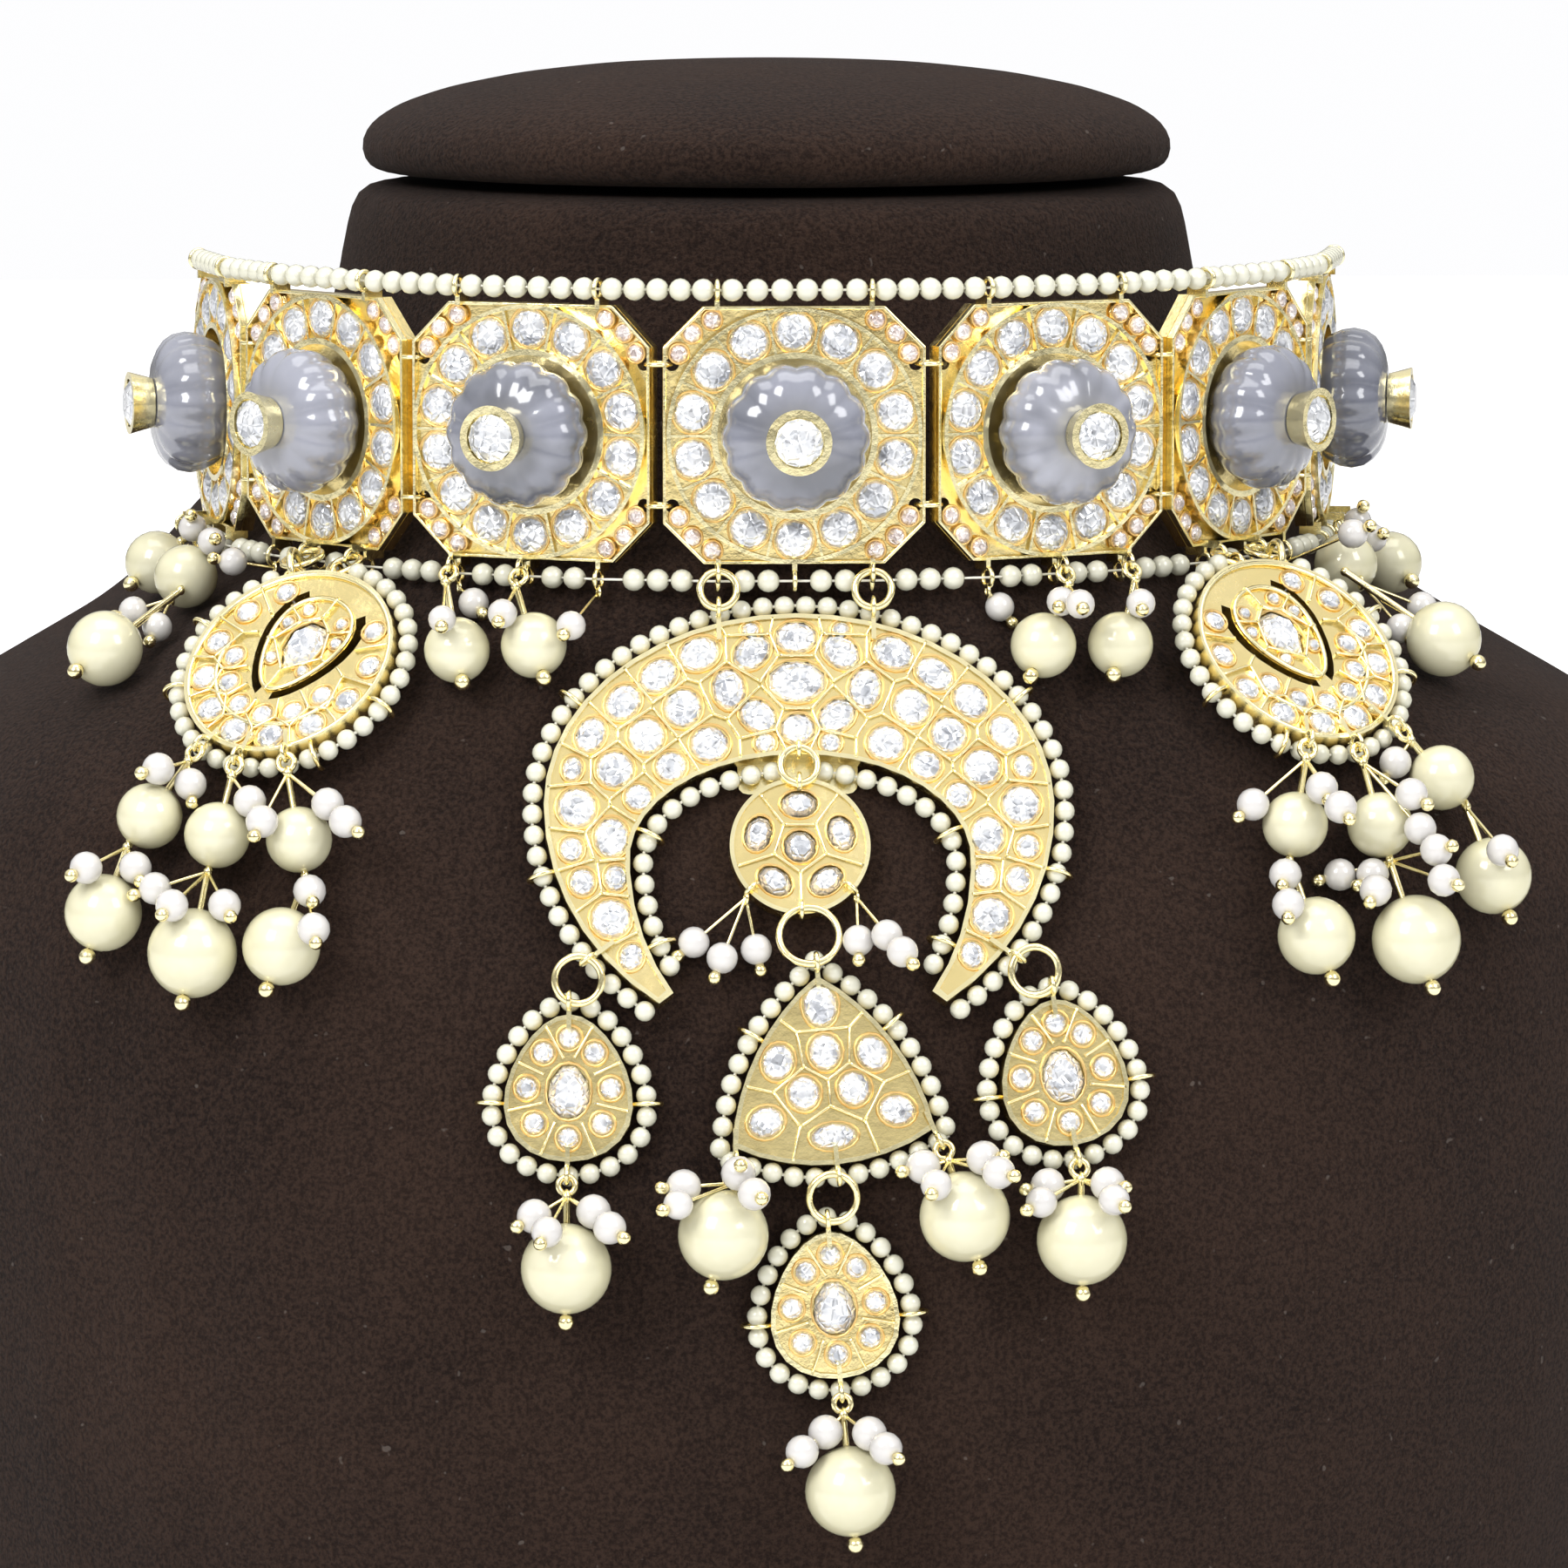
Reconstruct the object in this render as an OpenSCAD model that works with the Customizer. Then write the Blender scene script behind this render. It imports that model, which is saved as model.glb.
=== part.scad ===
// Kundan choker necklace with crescent, triangle and leaf pendants, on a plain padded neck bust.
// Front faces -Y, up is +Z, the flat base of the bust lies on z = 0. Lengths are millimetres.

/* [Bust] */
// Width of the bust across its shoulders
bust_w = 242; // [238:1:246]
// Height of the bust up to the seam of its cap
bust_h = 200; // [198:1:204]
// Depth of the bust in front of the neck axis
bust_front = 97; // [95:1:99]
// Depth of the bust behind the neck axis
bust_back = 67; // [62:1:72]
// Thickness of the padded cap
cap_t = 13; // [11:0.5:15]

/* [Choker] */
// Width of one octagonal plaque
plaque_w = 31.6; // [31:0.2:32]
// Height of one octagonal plaque
plaque_h = 31; // [30.4:0.2:31.6]
// Thickness of the plaque's back plate
plaque_t = 1.4; // [1.2:0.1:1.6]
// Height of the raised stone ring above the back
ring_t = 2.4; // [2.2:0.1:2.6]
// Diameter of the carved melon bead as a share of the plaque's height
bead_share = 0.58; // [0.565:0.005:0.595]
// Height of the melon bead
bead_h = 9.6; // [9:0.2:10.4]
// Diameter of the stone cup on the bead
collet_d = 7.9; // [7.2:0.1:8.4]
// Thickness of a pearl strand
strand_d = 2.7; // [2.5:0.1:2.8]

/* [Pendants] */
// Thickness of the pendant plates
plate_t = 2.4; // [2.2:0.1:2.6]
// Width of the crescent plate
crescent_w = 61; // [60:0.5:62]
// Diameter of the flower disc inside the crescent
disc_d = 16.8; // [16.4:0.2:17.2]
// Diameter of the two side discs
moon_d = 27.2; // [26.8:0.1:27.6]
// Thickness of the pearl edging
edging_d = 2.5; // [2.3:0.1:2.6]

/* [Drops] */
// Diameter of the largest drop pearls
pearl_big = 10.8; // [10.2:0.1:11]
// Diameter of the middle drop pearls
pearl_mid = 9.4; // [9:0.1:9.8]
// Diameter of the smaller drop pearls
pearl_small = 8; // [7.6:0.1:8.4]
// Thickness of the head pin wire
pin_d = 0.7; // [0.6:0.05:0.8]
// Diameter of the gold ball at the end of a pin
ball_d = 1.8; // [1.6:0.1:2]

/* [Cord] */
// Thickness of the back cord
cord_d = 2.6; // [2.4:0.1:2.8]

/* [Fits] */
// Clearance round a set stone, a bead and a wire in its hole
fit_gap = 0.12; // [0.1:0.01:0.15]
// Clearance between the jewel and the bust it lies on
rest_gap = 0.3; // [0.25:0.05:0.35]

/* [Hidden] */

gold = [0.86, 0.68, 0.32];
pale_stone = [0.86, 0.88, 0.9];
bead_grey = [0.6, 0.61, 0.68];
pearl_white = [0.9, 0.89, 0.82];
suede = [0.17, 0.12, 0.1];
cord_gold = [0.62, 0.45, 0.2];

// Levels of the bust from base to cap: share of height, share of half width, share of front depth,
// share of back depth, shoulder swell, squareness of the section
bust_levels = [
    [0, 0.872, 0.958, 0.925, 0, 2.5],
    [0.02, 0.893, 0.979, 0.955, 0, 2.5],
    [0.225, 0.942, 0.99, 0.985, 0, 2.5],
    [0.4, 0.98, 0.969, 1, 0, 2.5],
    [0.525, 1, 0.912, 0.985, 0, 2.5],
    [0.6, 0.967, 0.85, 0.955, 0, 2.5],
    [0.65, 0.884, 0.809, 0.925, 0.01, 2.4],
    [0.685, 0.778, 0.78, 0.896, 0.03, 2.3],
    [0.715, 0.676, 0.755, 0.866, 0.1, 2.15],
    [0.74, 0.594, 0.734, 0.843, 0.2, 2.03],
    [0.765, 0.565, 0.713, 0.821, 0.19, 2],
    [0.79, 0.539, 0.68, 0.799, 0.15, 2],
    [0.82, 0.508, 0.643, 0.776, 0.11, 2],
    [0.86, 0.48, 0.601, 0.754, 0.05, 2],
    [0.91, 0.457, 0.562, 0.739, 0.01, 2],
    [0.98, 0.438, 0.533, 0.73, 0, 2]
];
bust_turns = 48;

// Size of the bust at height z: half width, front depth, back depth, swell, squareness
function level_value(z, column) = lookup(z / bust_h, [for (row = bust_levels) [row[0], row[column]]]);
function half_width(z) = bust_w / 2 * level_value(z, 1);
function front_depth(z) = bust_front * level_value(z, 2);
function back_depth(z) = bust_back * level_value(z, 3);
function swell_at(turn) =
    let(from = plaque_step * 3.208)
    turn > from && turn < 146 ? 0.5 - 0.5 * cos((turn - from) * 360 / (146 - from)) : 0;

// Radius of the bust at height z, turn degrees round from the front
function bust_radius(turn, z) =
    let(
        n = level_value(z, 5),
        depth = abs(turn) < 90 ? front_depth(z) : back_depth(z),
        across = pow(abs(sin(turn)) / half_width(z), n),
        along = pow(abs(cos(turn)) / depth, n)
    )
    pow(across + along, -1 / n) * (1 + level_value(z, 4) * swell_at(abs(turn)));

// Depth of the chest surface at x and z, its outward direction and the place on it
function chest(x, z) =
    let(n = level_value(z, 5))
    -front_depth(z) * pow(1 - pow(abs(x) / half_width(z), n), 1 / n);
function lean_x(x, z) = (chest(x + 1, z) - chest(x - 1, z)) / 2;
function lean_z(x, z) = (chest(x, z + 1) - chest(x, z - 1)) / 2;
function out_dir(x, z) =
    let(v = [lean_x(x, z), -1, lean_z(x, z)])
    v / norm(v);
function on_chest(x, z, lift) = [x, chest(x, z), z] + out_dir(x, z) * lift;

// Places on the sides of the neck are found from the degrees round from the front
function round_point(turn, z) = bust_radius(turn, z) * [sin(turn), -cos(turn), 0] + [0, 0, z];
function on_neck(turn, z, lift) =
    let(
        along = round_point(turn + 0.5, z) - round_point(turn - 0.5, z),
        v = cross(along, round_point(turn, z + 0.5) - round_point(turn, z - 0.5))
    )
    round_point(turn, z) + v / norm(v) * lift;

// Axes of a flat piece from its outward direction and its roll
function side_of(n, roll) =
    let(flat = [-n[1], n[0], 0] / norm([n[0], n[1]]))
    flat * cos(roll) + cross(n, flat) * sin(roll);
function frame_of(p, n, roll) =
    let(
        ex = side_of(n, roll),
        ey = cross(n, ex)
    )
    [ex, ey, n, p];
function in_frame(f, v) = f[0] * v[0] + f[1] * v[1] + f[2] * v[2] + f[3];

// How far a flat piece has to be lifted so that all its probe points clear the chest
function lift_of(f, probes) =
    max([for (v = probes)
        let(p = in_frame(f, [v[0], v[1], 0]))
        (p[1] - chest(p[0], p[2])) / -f[2][1]]);
function lying(x, z, tip, yaw, roll, probes) =
    let(
        n = [sin(yaw) * cos(tip), -cos(yaw) * cos(tip), sin(tip)],
        f = frame_of([x, chest(x, z), z], n, roll),
        up = lift_of(f, probes) + rest_gap
    )
    [f[0], f[1], f[2], f[3] + n * up];

module place(f) {
    multmatrix([
        [f[0][0], f[1][0], f[2][0], f[3][0]],
        [f[0][1], f[1][1], f[2][1], f[3][1]],
        [f[0][2], f[1][2], f[2][2], f[3][2]],
        [0, 0, 0, 1]
    ])
        children();
}

// The choker ring: seven plaques side by side in front of the neck
choker_z = bust_h * 0.765 + plaque_h / 2 + rest_gap;
hang_level = choker_z - plaque_h / 2;
ring_back = max(front_depth(hang_level), half_width(hang_level)) + rest_gap;
plaque_gap = 0.62;
plaque_step = 2 * atan((plaque_w + plaque_gap) / 2 / ring_back);
plaque_cut = plaque_w * 0.155;
function plaque_frame(k) =
    let(a = (k - 4) * plaque_step)
    [[cos(a), sin(a), 0], [0, 0, 1], [sin(a), -cos(a), 0], [ring_back * sin(a), -ring_back * cos(a), choker_z]];

// The thin metal round stones, and where the rings of stones lie
channel_out = plaque_h / 2 - 0.1;
bead_d = plaque_h * bead_share;
channel_in = bead_d / 2 + 0.6;
channel_mid = (channel_out + channel_in) / 2;
polki_count = 14;
polki_r = (channel_out - channel_in) / 2 - 0.72;
stone_sides = 8;

// Rings of points swept into closed skins
function ring_faces(start, rings, sides) = [
    for (i = [0 : rings - 2]) for (j = [0 : sides - 1])
        [
            start + i * sides + j,
            start + (i + 1) * sides + j,
            start + (i + 1) * sides + (j + 1) % sides,
            start + i * sides + (j + 1) % sides
        ]
];
function end_faces(start, rings, sides) = [
    [for (j = [0 : sides - 1]) start + j],
    [for (j = [sides - 1 : -1 : 0]) start + (rings - 1) * sides + j]
];
function loop_faces(rings, sides) = [
    for (i = [0 : rings - 1]) for (j = [0 : sides - 1])
        [
            i * sides + j,
            ((i + 1) % rings) * sides + j,
            ((i + 1) % rings) * sides + (j + 1) % sides,
            i * sides + (j + 1) % sides
        ]
];

// One tube along a path of points, each with its own radius; up is a direction the path never takes
function path_dir(path, i, closed) =
    let(
        n = len(path),
        a = closed ? path[(i + n - 1) % n] : path[max(i - 1, 0)],
        b = closed ? path[(i + 1) % n] : path[min(i + 1, n - 1)]
    )
    (b - a) / norm(b - a);
function tube_points(path, radii, sides, up, closed) = [
    for (i = [0 : len(path) - 1])
        let(
            d = path_dir(path, i, closed),
            s0 = cross(d, up),
            s = s0 / norm(s0),
            t = cross(s, d)
        )
        for (j = [0 : sides - 1])
            path[i] + (s * cos(j * 360 / sides) + t * sin(j * 360 / sides)) * radii[i]
];
module tube(path, radii, sides, up) {
    polyhedron(
        points = tube_points(path, radii, sides, up, false),
        faces = concat(ring_faces(0, len(path), sides), end_faces(0, len(path), sides))
    );
}
module closed_tube(path, radius, sides, up) {
    polyhedron(
        points = tube_points(path, [for (p = path) radius], sides, up, true),
        faces = loop_faces(len(path), sides)
    );
}
module rod(a, b, r) {
    v = b - a;
    translate(a)
        rotate([0, acos(v[2] / norm(v)), atan2(v[1], v[0])])
            cylinder(r = r, h = norm(v), $fn = 24);
}

// Cut stones. A stone is [x, y, half width, half height, turn, point], point narrowing one end
function stone_outline(s, grow, sides) = [
    for (i = [0 : sides - 1])
        let(
            a = i * 360 / sides + 180 / sides,
            u = (s[2] + grow) * cos(a) * (1 - s[5] * sin(a)),
            v = (s[3] + grow) * sin(a)
        )
        [s[0] + u * cos(s[4]) - v * sin(s[4]), s[1] + u * sin(s[4]) + v * cos(s[4])]
];
function stone_rings(s, low, high, sides) = [
    for (part = [[0.9, 0], [1, 0.4], [0.62, 1]])
        for (p = stone_outline([s[0], s[1], s[2] * part[0], s[3] * part[0], s[4], s[5]], 0, sides))
            [p[0], p[1], low + (high - low) * part[1]]
];
module stones(list, low, high) {
    polyhedron(
        points = [for (s = list) each stone_rings(s, low, high, stone_sides)],
        faces = [
            for (k = [0 : len(list) - 1])
                each concat(
                    ring_faces(k * 3 * stone_sides, 3, stone_sides),
                    end_faces(k * 3 * stone_sides, 3, stone_sides)
                )
        ]
    );
}
module seats(list, low, high) {
    for (s = list) {
        translate([0, 0, low])
            linear_extrude(high - low)
                polygon(stone_outline(s, fit_gap, stone_sides));
    }
}

// A soldered loop: ring of wire with its axis along x, y or the outward direction
loop_r = 1;
loop_wire = 0.28;
module ring_of(major, minor) {
    rotate_extrude($fn = 32)
        translate([major, 0])
            circle(r = minor, $fn = 16);
}
module loop_x(major, minor) {
    rotate([0, 90, 0])
        ring_of(major, minor);
}

// The padded bust
function bust_ring(z, grow) = [
    for (i = [0 : bust_turns - 1])
        let(
            turn = i * 360 / bust_turns,
            t = turn > 180 ? turn - 360 : turn,
            r = bust_radius(t, z) + grow
        )
        [r * sin(t), -r * cos(t), z]
];
module neck_bust() {
    color(suede)
        polyhedron(
            points = [for (row = bust_levels) each bust_ring(row[0] * bust_h, 0)],
            faces = concat(
                ring_faces(0, len(bust_levels), bust_turns),
                end_faces(0, len(bust_levels), bust_turns)
            )
        );
}
// Rows of the domed cap: share of its height, share of the neck's width
cap_profile = [
    [0, 0.925], [0.08, 0.965], [0.2, 0.985], [0.36, 0.982], [0.52, 0.952],
    [0.67, 0.885], [0.8, 0.77], [0.9, 0.61], [0.965, 0.41], [1, 0.17]
];
cap_seat = bust_levels[len(bust_levels) - 1][0] * bust_h;
function cap_ring(share, width) = [
    for (p = bust_ring(cap_seat, 0))
        [p[0] * width, p[1] * width, cap_seat + fit_gap + cap_t * share]
];
module bust_cap() {
    color(suede)
        polyhedron(
            points = [for (row = cap_profile) each cap_ring(row[0], row[1])],
            faces = concat(
                ring_faces(0, len(cap_profile), bust_turns),
                end_faces(0, len(cap_profile), bust_turns)
            )
        );
}

// One octagonal plaque: back plate, raised channel of stones, seat of the melon bead, loops
loop_top = plaque_h / 2 + 2;
loop_side = plaque_w * 0.294;
strand_lift = 2.9;
hang_y = plaque_h / 2 + 0.8;
hang_lift = 5.1;
link_x = plaque_w / 2 - 1.15;
link_y = plaque_h * 0.275;
module octagon(grow) {
    a = plaque_w / 2 + grow;
    b = plaque_h / 2 + grow;
    c = plaque_cut;
    polygon([
        [a, b - c], [a - c, b], [c - a, b], [-a, b - c],
        [-a, c - b], [c - a, -b], [a - c, -b], [a, c - b]
    ]);
}
plaque_polki = [
    for (i = [0 : polki_count - 1])
        let(a = 90 - i * 360 / polki_count)
        [channel_mid * cos(a), channel_mid * sin(a), polki_r, polki_r, a, 0]
];
module strand_loop(x, y) {
    edge = plaque_h / 2 - 0.4;
    translate([x, y, strand_lift])
        loop_x(1.12, 0.3);
    translate([x, (y > 0 ? 1 : -1) * (edge + abs(y) - 0.9) / 2, (strand_lift + 0.6) / 2])
        cube([0.6, abs(y) - 0.9 - edge, strand_lift - 0.2], center = true);
}
module plaque_body(hangers) {
    difference() {
        union() {
            linear_extrude(plaque_t)
                octagon(0);
            cylinder(r = channel_out, h = ring_t, $fn = 96);
            difference() {
                cylinder(r = channel_out, h = ring_t + 0.6, $fn = 96);
                translate([0, 0, plaque_t])
                    cylinder(r = channel_out - 0.5, h = ring_t, $fn = 96);
            }
            cylinder(r = channel_in + 0.45, h = ring_t + 0.6, $fn = 96);
            for (i = [0 : polki_count - 1]) {
                rotate([0, 0, 90 - (i + 0.5) * 360 / polki_count])
                    translate([channel_in, -0.17, plaque_t])
                        cube([channel_out - channel_in - 0.2, 0.34, ring_t - plaque_t + 0.45]);
            }
            for (side = [-1, 1]) {
                strand_loop(side * loop_side, loop_top);
            }
            for (side = [-1, 0, 1]) {
                strand_loop(side * loop_side, -loop_top);
            }
            for (side = hangers) {
                translate([side * loop_side, -hang_y, hang_lift])
                    loop_x(loop_r, loop_wire);
                translate([side * loop_side, -hang_y + 1.15, hang_lift / 2 + 0.3])
                    cube([0.56, 0.9, hang_lift - 0.2], center = true);
            }
        }
        translate([0, 0, 1])
            cylinder(r = bead_d / 2 + 0.3, h = 10, $fn = 96);
        seats(plaque_polki, plaque_t - 0.3, 9);
        translate([0, 0, -1])
            cylinder(r = pin_d / 2 + 0.35, h = 4, $fn = 24);
        for (sx = [-1, 1]) {
            for (sy = [-1, 1]) {
                translate([sx * link_x, sy * link_y, -1])
                    cylinder(r = 0.82, h = 3, $fn = 20);
            }
        }
    }
}
// Which of the three bottom loops carry something, plaque by plaque
function hangers_of(k) = [[-1, 0], [0, 1], [-1, 0], [-1, 1], [0, 1], [-1, 0], [0, 1]][k - 1];
function lug_at(k, side) = in_frame(plaque_frame(k), [side * loop_side, -hang_y, hang_lift]);
module end_lug(side) {
    translate([side * (plaque_w / 2 + 1.3), 0, 0.7])
        rotate([90, 0, 0])
            ring_of(1.5, 0.42);
}
module plaque(k) {
    color(gold)
        place(plaque_frame(k)) {
            plaque_body(hangers_of(k));
            if (k == 1) {
                end_lug(-1);
            }
            if (k == 7) {
                end_lug(1);
            }
        }
}
module polki(k) {
    color(pale_stone)
        place(plaque_frame(k))
            stones(plaque_polki, plaque_t - 0.3 + fit_gap, plaque_t + 1.75);
}

// The carved melon bead: sixteen soft lobes, drilled for the pin of its cup
bead_low = 1 + fit_gap;
bead_lobes = 14;
bead_profile = [
    [0.1, 0, 0], [0.55, 0, 0.02], [0.9, 0.24, 0.05], [1, 0.52, 0.06],
    [0.9, 0.79, 0.06], [0.62, 0.96, 0.05], [0.3, 1, 0.02], [0.1, 1, 0]
];
function bead_points() = [
    for (row = bead_profile) for (i = [0 : bead_lobes * 2 - 1])
        let(
            a = i * 180 / bead_lobes,
            r = bead_d / 2 * (row[0] - (i % 2 == 1 ? row[2] : 0))
        )
        [r * cos(a), r * sin(a), bead_low + bead_h * row[1]]
];
module melon(k) {
    color(bead_grey)
        place(plaque_frame(k))
            polyhedron(points = bead_points(), faces = loop_faces(len(bead_profile), bead_lobes * 2));
}

// The gold cup pinned on top of a bead, and its stone
cup_low = bead_low + bead_h + fit_gap;
cup_h = 2.9;
module bead_cups() {
    color(gold)
        for (k = [1 : 7]) {
            place(plaque_frame(k))
                union() {
                    difference() {
                        translate([0, 0, cup_low])
                            cylinder(r1 = collet_d * 0.4, r2 = collet_d / 2, h = cup_h, $fn = 48);
                        translate([0, 0, cup_low + cup_h - 1.1])
                            cylinder(r = collet_d * 0.37 + fit_gap, h = 3, $fn = 48);
                    }
                    translate([0, 0, 0.3])
                        cylinder(r = pin_d / 2, h = cup_low + 0.4, $fn = 24);
                }
        }
}
module cup_stones() {
    color(pale_stone)
        for (k = [1 : 7]) {
            place(plaque_frame(k))
                translate([0, 0, cup_low + cup_h - 1.1])
                    cup_stone();
        }
}
module cup_stone() {
    r = collet_d * 0.37;
    polyhedron(
        points = [
            for (part = [[0.94, fit_gap], [1, 0.9], [0.6, 1.6]]) for (i = [0 : 11])
                [r * part[0] * cos(i * 30), r * part[0] * sin(i * 30), part[1]]
        ],
        faces = concat(ring_faces(0, 3, 12), end_faces(0, 3, 12))
    );
}

// Round links through the plate edges of neighbouring plaques
seam_r = ring_back / cos(plaque_step / 2);
module plaque_links() {
    color(gold)
        for (k = [1 : 6]) {
            for (side = [-1, 1]) {
                a = (k - 3.5) * plaque_step;
                translate([
                    (seam_r + plaque_t / 2) * sin(a),
                    -(seam_r + plaque_t / 2) * cos(a),
                    choker_z + side * link_y
                ])
                    ring_of(1.5, 0.3);
            }
        }
}

// Pearl strands along the top and bottom loops, narrow where they pass a loop
function strand_path(level, loops) = [
    for (k = [1 : 7]) for (x = loops) for (step = [-1.35, 0, 1.35])
        in_frame(plaque_frame(k), [x * loop_side + step, level, strand_lift])
];
function strand_radii(loops) = [
    for (k = [1 : 7]) for (x = loops) for (share = [1, 0.28, 1])
        strand_d / 2 * share
];
module top_strand() {
    color(pearl_white)
        tube(strand_path(loop_top, [-1, 1]), strand_radii([-1, 1]), 8, [0, 0, 1]);
}
module bottom_strand() {
    color(pearl_white)
        tube(strand_path(-loop_top, [-1, 0, 1]), strand_radii([-1, 0, 1]), 8, [0, 0, 1]);
}

// Outline helpers: ovals with different rise above and below their widest line
function oval_points(w, up, down, y0, from, to, steps) = [
    for (i = [0 : steps])
        let(a = from + (to - from) * i / steps)
        [w * cos(a), y0 + (sin(a) > 0 ? up : down) * sin(a)]
];
seat_low = plate_t - 1.25;
stone_low = seat_low + fit_gap;
stone_high = plate_t + 0.75;
rail_t = plate_t + 0.5;
edge_out = edging_d / 2 + 0.15;

// A staple: wire bent over the edging and soldered to the plate edge. at = [x, y, turn of the edging]
module staple(at, spare = 0.42) {
    difference() {
        translate([at[0], at[1], edging_d / 2])
            rotate([0, 0, at[2]])
                loop_x(edging_d / 2 + spare, 0.28);
        translate([at[0], at[1], 0.02 - edging_d])
            cube([edging_d * 3, edging_d * 3, edging_d * 2], center = true);
    }
}
function edge_at(path, i) =
    let(
        n = len(path),
        d = path[(i + 1) % n] - path[(i + n - 1) % n]
    )
    [path[i][0], path[i][1], atan2(d[1], d[0])];
function lift_path(path, z) = [for (p = path) [p[0], p[1], z]];

// The crescent pendant
cw = crescent_w / 2;
crescent_frame = lying(
    0, hang_level - 28.9, 21.8, 0, 0,
    [for (y = [-27 : 1.5 : 25.5]) each [[-8, y], [0, y], [8, y]]]
);
function crescent_outer(grow, low, steps) =
    oval_points(cw + grow, cw * 0.78 + grow, cw * 0.957 + grow, 0, low, 180 - low, steps);
function crescent_inner(grow, low, steps) =
    oval_points(cw * 0.668 - grow, cw * 0.423 - grow, cw * 0.816 - grow, -cw * 0.216, low, 180 - low, steps);
crescent_low = -56;
inner_low = -41;
crescent_shape = concat(
    crescent_outer(0, crescent_low, 36),
    [for (i = [28 : -1 : 0]) crescent_inner(0, inner_low, 28)[i]]
);
crescent_rail = concat(
    crescent_outer(-0.55, crescent_low + 1, 36),
    [for (i = [28 : -1 : 0]) crescent_inner(-0.55, inner_low + 2, 28)[i]]
);
// Stones of the crescent: x, y as shares of half the width, size, turn, point. Centre flower first
flower = [
    [0, 0.505, 0.112, 0.083, 0, 0], [0, 0.685, 0.08, 0.062, 0, 0], [-0.175, 0.625, 0.08, 0.06, 42, 0],
    [-0.268, 0.475, 0.062, 0.082, 8, 0], [-0.155, 0.365, 0.078, 0.06, -38, 0], [0, 0.312, 0.066, 0.06, 0, 0],
    [0.155, 0.365, 0.078, 0.06, 38, 0], [0.268, 0.475, 0.062, 0.082, -8, 0], [0.175, 0.625, 0.08, 0.06, -42, 0]
];
crescent_flower = [
    for (s = flower) [s[0] * cw, s[1] * cw, s[2] * cw, s[3] * cw, s[4], s[5]]
];
// The smaller stones of each horn, set only as cells here
horn_cells = [
    [0.382, 0.62, 0.08, 0.062, -24, 0], [0.178, 0.715, 0.03, 0.026, 0, 0], [0.543, 0.532, 0.078, 0.058, -38, 0],
    [0.45, 0.4, 0.07, 0.075, 20, 0], [0.683, 0.423, 0.075, 0.06, -50, 0], [0.594, 0.286, 0.068, 0.07, 10, 0],
    [0.347, 0.252, 0.072, 0.068, 0, 0], [0.812, 0.292, 0.07, 0.052, -62, 0], [0.72, 0.152, 0.07, 0.07, 0, 0],
    [0.5, 0.162, 0.058, 0.055, -35, 0], [0.885, 0.155, 0.034, 0.045, 10, 0], [0.628, 0.038, 0.05, 0.05, 0, 0],
    [0.87, -0.002, 0.073, 0.076, 0, 0], [0.736, -0.124, 0.064, 0.076, 0, 0], [0.893, -0.17, 0.042, 0.045, 0, 0],
    [0.852, -0.302, 0.045, 0.05, 0, 0], [0.722, -0.287, 0.04, 0.048, 0, 0], [0.742, -0.45, 0.074, 0.074, 0, 0],
    [0.665, -0.603, 0.042, 0.05, 20, 0], [0.128, 0.255, 0.036, 0.036, 0, 0]
];
function both_sides(list, k) = [
    for (s = list) for (side = [-1, 1]) if (s[2] > 0)
        [side * s[0] * k, s[1] * k, s[2] * k, s[3] * k, side * s[4], s[5]]
];
crescent_cells = both_sides(horn_cells, cw);
crescent_outer_edge = crescent_outer(edge_out, crescent_low + 2, 30);
crescent_inner_edge = [for (i = [0 : 16]) crescent_inner(edge_out + 0.25, inner_low + 8 + i * 7.1, 1)[0]];
bail_lift = plate_t + 1.45;
bail_reach = edging_d * 0.8;

// A bail that stands over the edging; at = [x, y] on the plate edge, turn = its outward direction
module bail(at, turn) {
    translate([at[0], at[1], 0])
        rotate([0, 0, turn]) {
            translate([bail_reach, 0, bail_lift])
                rotate([90, 0, 0])
                    ring_of(loop_r, loop_wire);
            translate([bail_reach - 2.35, 0, plate_t + 0.72])
                cube([3.2, 0.56, 0.9], center = true);
        }
}
function bail_hole(f, at, turn) =
    in_frame(f, [at[0] + bail_reach * cos(turn), at[1] + bail_reach * sin(turn), bail_lift]);
module standing_loop(at, turn) {
    translate([at[0], at[1], plate_t + 0.95])
        rotate([0, 0, turn])
            rotate([90, 0, 0])
                ring_of(loop_r, loop_wire);
}
function standing_hole(f, at) = in_frame(f, [at[0], at[1], plate_t + 0.95]);
inner_top = cw * (0.423 - 0.216);
crescent_top = cw * 0.78 * sqrt(1 - pow(loop_side / cw, 2)) - 0.3;
horn_bail = [cw * 0.785, -cw * 0.585];
horn_turn = -36;
module scale_x(side) {
    if (side < 0) {
        mirror([1, 0, 0])
            children();
    }
    else {
        children();
    }
}
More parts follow.
